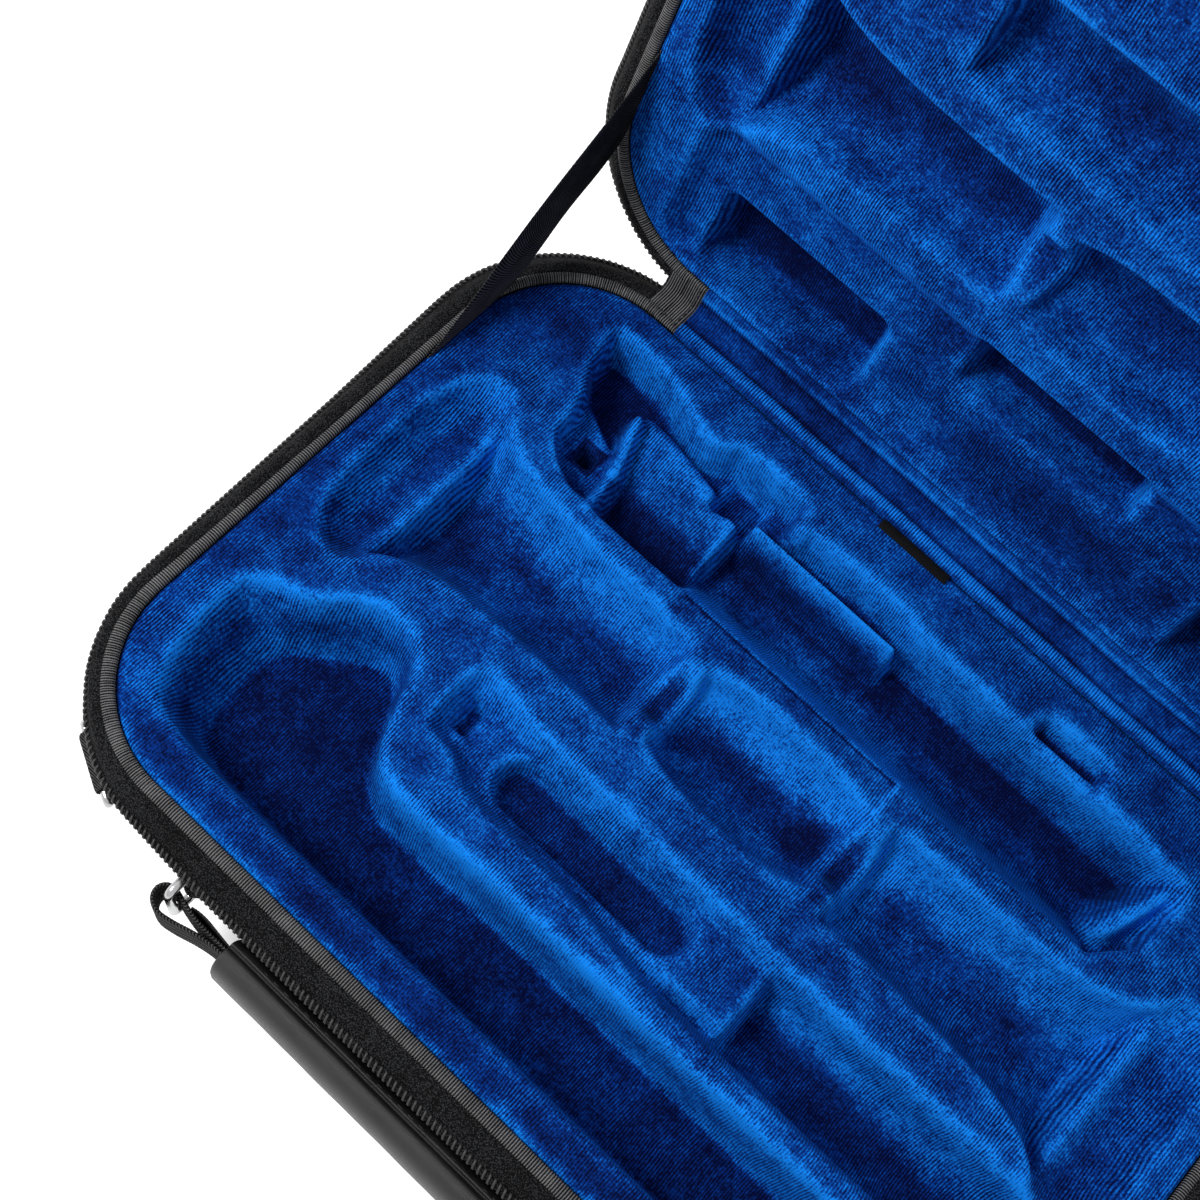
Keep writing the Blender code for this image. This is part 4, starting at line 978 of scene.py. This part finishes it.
def round_rect(width, height, radius):
    """A closed rectangle with round corners in (a, b), centred on the origin."""
    points = []
    for ca, cb, start in ((1, -1, -90), (1, 1, 0), (-1, 1, 90), (-1, -1, 180)):
        for angle in np.radians(start + np.linspace(0, 90, 9)):
            points.append((ca * (width / 2 - radius) + radius * math.cos(angle),
                           cb * (height / 2 - radius) + radius * math.sin(angle)))
    return points


def stitch_row(start, way, count, spacing=2.9, stitch=2.0):
    """Stitches in a row, in metres, from a point and a direction in millimetres."""
    start, way = np.array(start, float), np.array(way, float)
    return [((start + way * spacing * k) * mm, (start + way * (spacing * k + stitch)) * mm) for k in range(count)]


ring_x, bar_y, grip_y = 105.0, -124.8, -133.8
handle_at = Matrix.Translation((0, 0, 36 * mm))


def make_sewn_tab(name, side, path, runs, matrix):
    """A webbing tab on the base with its rows of stitches."""
    make(f"{name}_{side}_webbing", flat_strap(path, 20 * mm, 1.25 * mm), twill, "base", f"{name}_{side}",
         matrix)
    make(f"{name}_{side}_stitches", thread_runs(runs, 0.22 * mm), thread, "base", matrix=matrix)


def handle_side(side, sign):
    outline = round_rect(9 * mm, 26.7 * mm, 2.8 * mm)
    points = np.array([(sign * ring_x * mm, (bar_y - 4.5) * mm + a, b) for a, b in outline])
    make(f"handle_ring_{side}_wire", wire(points, 1.6 * mm, (1, 0, 0)), nickel, side + "_ring",
         "handle_ring_" + side, handle_at)
    tab = [(82.6, -122.15), (92, -122.15), (100, -122.2), (103.6, -122.35), (106.6, -123.0), (107.5, -124.9),
           (106.3, -126.9), (103.9, -126.9), (101.6, -125.2), (99, -123.9), (92, -123.6), (82.6, -123.6)]
    face = -124.32
    runs = [run for z in (-7, 7) for run in stitch_row((sign * 84.5, face, z), (sign, 0, 0), 5)]
    runs += [run for x in (84.2, 99.0) for run in stitch_row((sign * x, face, -6.4), (0, 0, 1), 5)]
    make_sewn_tab("handle_tab", side, smooth_path([(sign * x, y) for x, y in tab]), runs, handle_at)


def handle_webbing():
    """The strap looped round both rings, and the smooth strap that lines its loops."""
    loop = np.array([(-80, -134.6), (-86, -135.0), (-92, -136.2), (-99, -138.2), (-104.5, -139.0), (-108.6, -137.2),
                     (-109.8, -133.9), (-108.0, -131.2), (-104.6, -130.8), (-100.5, -131.8), (-94, -132.9),
                     (-87, -133.1), (-80, -133.0)])
    lining = np.array([(98.0, -131.5), (95.5, -131.0), (92.2, -130.9), (89.0, -131.2), (85.5, -131.6), (80.5, -132.1)])
    count = 300
    xs = np.linspace(-79.5, 79.5, count)
    outer, inner = (np.stack([x, np.full(count, y)], 1) * mm for x, y in ((xs, -134.6), (xs[::-1], -133.0)))
    paths = (smooth_path(loop[::-1]), outer, smooth_path(loop * (-1, 1)), inner)
    make("handle_webbing_strap", merged([flat_strap(path, 20 * mm, 1.55 * mm) for path in paths]), twill,
         "handle", "handle_webbing", handle_at)
    for side, sign in sides:
        piece = flat_strap(smooth_path(lining * (sign, 1), 0.3 * mm), 18 * mm, 0.9 * mm, 0.3 * mm * sign)
        make(f"handle_lining_{side}", piece, leather, "handle", matrix=handle_at)


def rounded_section(angle, power, half_y, half_z):
    c, s = np.cos(angle), np.sin(angle)
    return np.sign(c) * np.abs(c) ** power * half_y, np.sign(s) * np.abs(s) ** power * half_z


def handle_grip():
    """A leather wrap rolled round the straps from both sides, its edges meeting in a seam on top."""
    half_length, columns, seam_y = 81 * mm, 120, 1.9
    angle = np.arange(columns) * 2 * np.pi / columns
    y, z = rounded_section(angle, 2 / 2.6, 7.0, 13.4)
    puff = 0.5 * hump(y, seam_y - 2.6, 2.2) + 0.3 * hump(y, seam_y + 2.3, 1.8)
    outer = np.stack([y, z + (puff - 2.0 * hump(y, seam_y, 0.55)) * (z > 0)], 1) * mm
    bore = np.stack(rounded_section(angle, 0.35, 1.75, 10.3), 1) * mm

    # Each end closes from the outer section toward the bore, (inset, share of the bore), and the bore ends inside
    ends = [(-1.0, 1.0), (0.0, 1.0), (0.0, 0.80), (0.8, 0.55), (0.25, 0.30), (0.0, 0.16), (0.25, 0.06), (0.9, 0.0)]
    ends = [(-half_length + (1.0 if k == 0 else inset) * mm, share) for k, (inset, share) in enumerate(ends)]
    rows = ends[1:] + [(x, 0.0) for x in np.linspace(2.0 * mm - half_length, half_length - 2.0 * mm, 120)]
    rows += [(-x, share) for x, share in ends[:0:-1]] + [(-ends[0][0], 1.0), (ends[0][0], 1.0)]
    x, share = np.array(rows).T[..., None, None]
    ripple = 1 + 0.006 * np.sin(x / (7 * mm)) + 0.004 * np.sin(x / (2.9 * mm) + 1)
    sections = outer * ripple * (1 - share) + bore * share + (grip_y * mm, 0)
    points = np.concatenate([np.broadcast_to(x, (len(rows), columns, 1)), sections], -1).reshape(-1, 3)
    n, j = len(rows), np.arange(columns)
    a, q = np.arange(n)[:, None] * columns, (j + 1) % columns
    b = (a + columns) % (n * columns)
    faces = np.stack([a + j, b + j, b + q, a + q], -1).reshape(-1, 4).tolist()
    uvs = np.stack([points[:, 0], np.tile(j * 0.6 * mm, n)], 1)
    make("handle_grip_wrap", (points, faces, uvs), leather, "handle", "handle_grip", handle_at)
    runs = [stitch_row((-77 + 4.3 * k, grip_y + seam_y + offset, z), (1, 0, 0), 1, stitch=2.6)[0]
            for k in range(36) for offset, z in ((-2.1, 13.55), (1.7, 12.55))]
    make("handle_grip_stitches", thread_runs(runs, 0.24 * mm), thread, "handle", matrix=handle_at)


def strap_ring(side, sign):
    """The tab on a front corner and the D-shaped ring that hangs from its fold."""
    turn = math.radians(63)
    outward = Vector((sign * math.cos(turn), -math.sin(turn), 0))
    stand = 2 * seat + 2.9 * mm
    bar = Vector((sign * (case_length / 2 - corner_radius), corner_radius - case_width / 2, base_height - 29 * mm))
    bar += outward * (corner_radius + stand)
    up = Vector((0, 0, 1))
    spot = Matrix.Translation(bar) @ Matrix((outward, up, outward.cross(up))).transposed().to_4x4()
    lean = 1.4 - (stand - seat) / mm
    tab = [(lean - 0.72, 19.9), (lean - 0.72, 12), (lean - 0.72, 6), (lean - 0.7, 2.4), (-1.8, -1.2), (-0.2, -2.5),
           (2.0, -1.3), (2.2, 0.9), (1.0, 2.6), (-0.2, 4.6), (lean + 0.72, 7.4), (lean + 0.72, 13), (lean + 0.72, 19.9)]
    face = lean + 1.42
    runs = [run for z in (-7.5, 7.5) for run in stitch_row((face, 8.6, z), (0, 1, 0), 4)]
    runs += [run for v in (8.4, 18.4) for run in stitch_row((face, v, -6.9), (0, 0, 1), 5)]
    make_sewn_tab("side_tab", side, smooth_path(tab), runs, spot)
    half_width, drop = 13.5 * mm, 16.5 * mm
    path = [(0, 0, t) for t in np.linspace(half_width, -half_width, 40)]
    path += [(0, -drop * math.sin(a), -half_width * math.cos(a)) for a in np.linspace(0, np.pi, 60)[1:-1]]
    path = np.array(path)
    for _ in range(3):
        path = (np.roll(path, 1, 0) + 2 * path + np.roll(path, -1, 0)) / 4
    make(f"side_ring_{side}_wire", wire(path, 1.5 * mm, (1, 0, 0)), nickel, side + "_side_ring",
         "side_ring_" + side, spot)


for side_name, side_sign in sides:
    handle_side(side_name, side_sign)
    strap_ring(side_name, side_sign)
handle_webbing()
handle_grip()

# ---------------------------------------------------------------- pieces that keep their CAD shape
for name, material in (("base_shell", shell_cloth), ("lid_shell", shell_cloth), ("zip_slider", gunmetal),
                       ("zip_pull", gunmetal)):
    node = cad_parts[name]
    node.data.materials.clear()
    node.data.materials.append(material)


# ---------------------------------------------------------------- floor, light, camera
def rays_seen(n):
    """1 for the rays that must see plain white, 0 for those that light the case."""
    rays = n.node("LightPath").outputs
    return n.math("MAXIMUM", n.math("MAXIMUM", rays["Is Camera Ray"], rays["Is Glossy Ray"]),
                  rays["Is Transmission Ray"])


def build_stage(size=4.0):
    n = Nodes("floor")
    grey = n.ramp(n.noise(8), (0.2, (0.88, 0.88, 0.88)), (0.8, (0.90, 0.90, 0.90)))
    n.finish(Base_Color=grey, Roughness=0.9, Specular_IOR_Level=0.1, Emission_Color=(1, 1, 1, 1),
             Emission_Strength=n.scaled(rays_seen(n), 0.45))
    floor = mesh_object("floor", [(-size, -size, 0), (size, -size, 0), (size, size, 0), (-size, size, 0)],
                        [(0, 1, 2, 3)])
    floor.data.materials.append(n.owner)
    n = Nodes("studio", "worlds", "Background")
    strength = n.node("MapRange", {"Value": rays_seen(n), "To Min": 0.42, "To Max": 1.0})
    bpy.context.scene.world = n.finish(Color=(1, 1, 1, 1), Strength=strength.outputs[0])


def add_object(name, data):
    obj = bpy.data.objects.new(name, data)
    bpy.context.scene.collection.objects.link(obj)
    return obj


def area_light(name, place, target, size, power):
    light = bpy.data.lights.new(name, "AREA")
    light.shape, light.size, light.energy = "DISK", size, power
    obj = add_object(name, light)
    obj.location = place
    obj.rotation_euler = (Vector(target) - Vector(place)).to_track_quat("-Z", "Y").to_euler()


def build_camera():
    right = (0.72979299, 0.67025308, 0.13477015)
    up = (-0.66872953, 0.65885555, 0.34454343)
    backward = (0.14213724, -0.34157017, 0.92904619)
    camera = bpy.data.cameras.new("camera")
    camera.lens, camera.sensor_width = 58.14, 36
    obj = add_object("camera", camera)
    obj.matrix_world = (Matrix.Translation((0.01295, -0.1872, 0.6365))
                        @ Matrix((right, up, backward)).transposed().to_4x4())
    bpy.context.scene.camera = obj


build_stage()
area_light("key", (-0.75, -0.55, 1.15), (0, 0, 0.05), 0.5, 16)
area_light("back", (0.5, 1.1, 1.2), (0, 0.1, 0.1), 0.9, 8)
build_camera()
bpy.context.scene.view_settings.view_transform = "Standard"
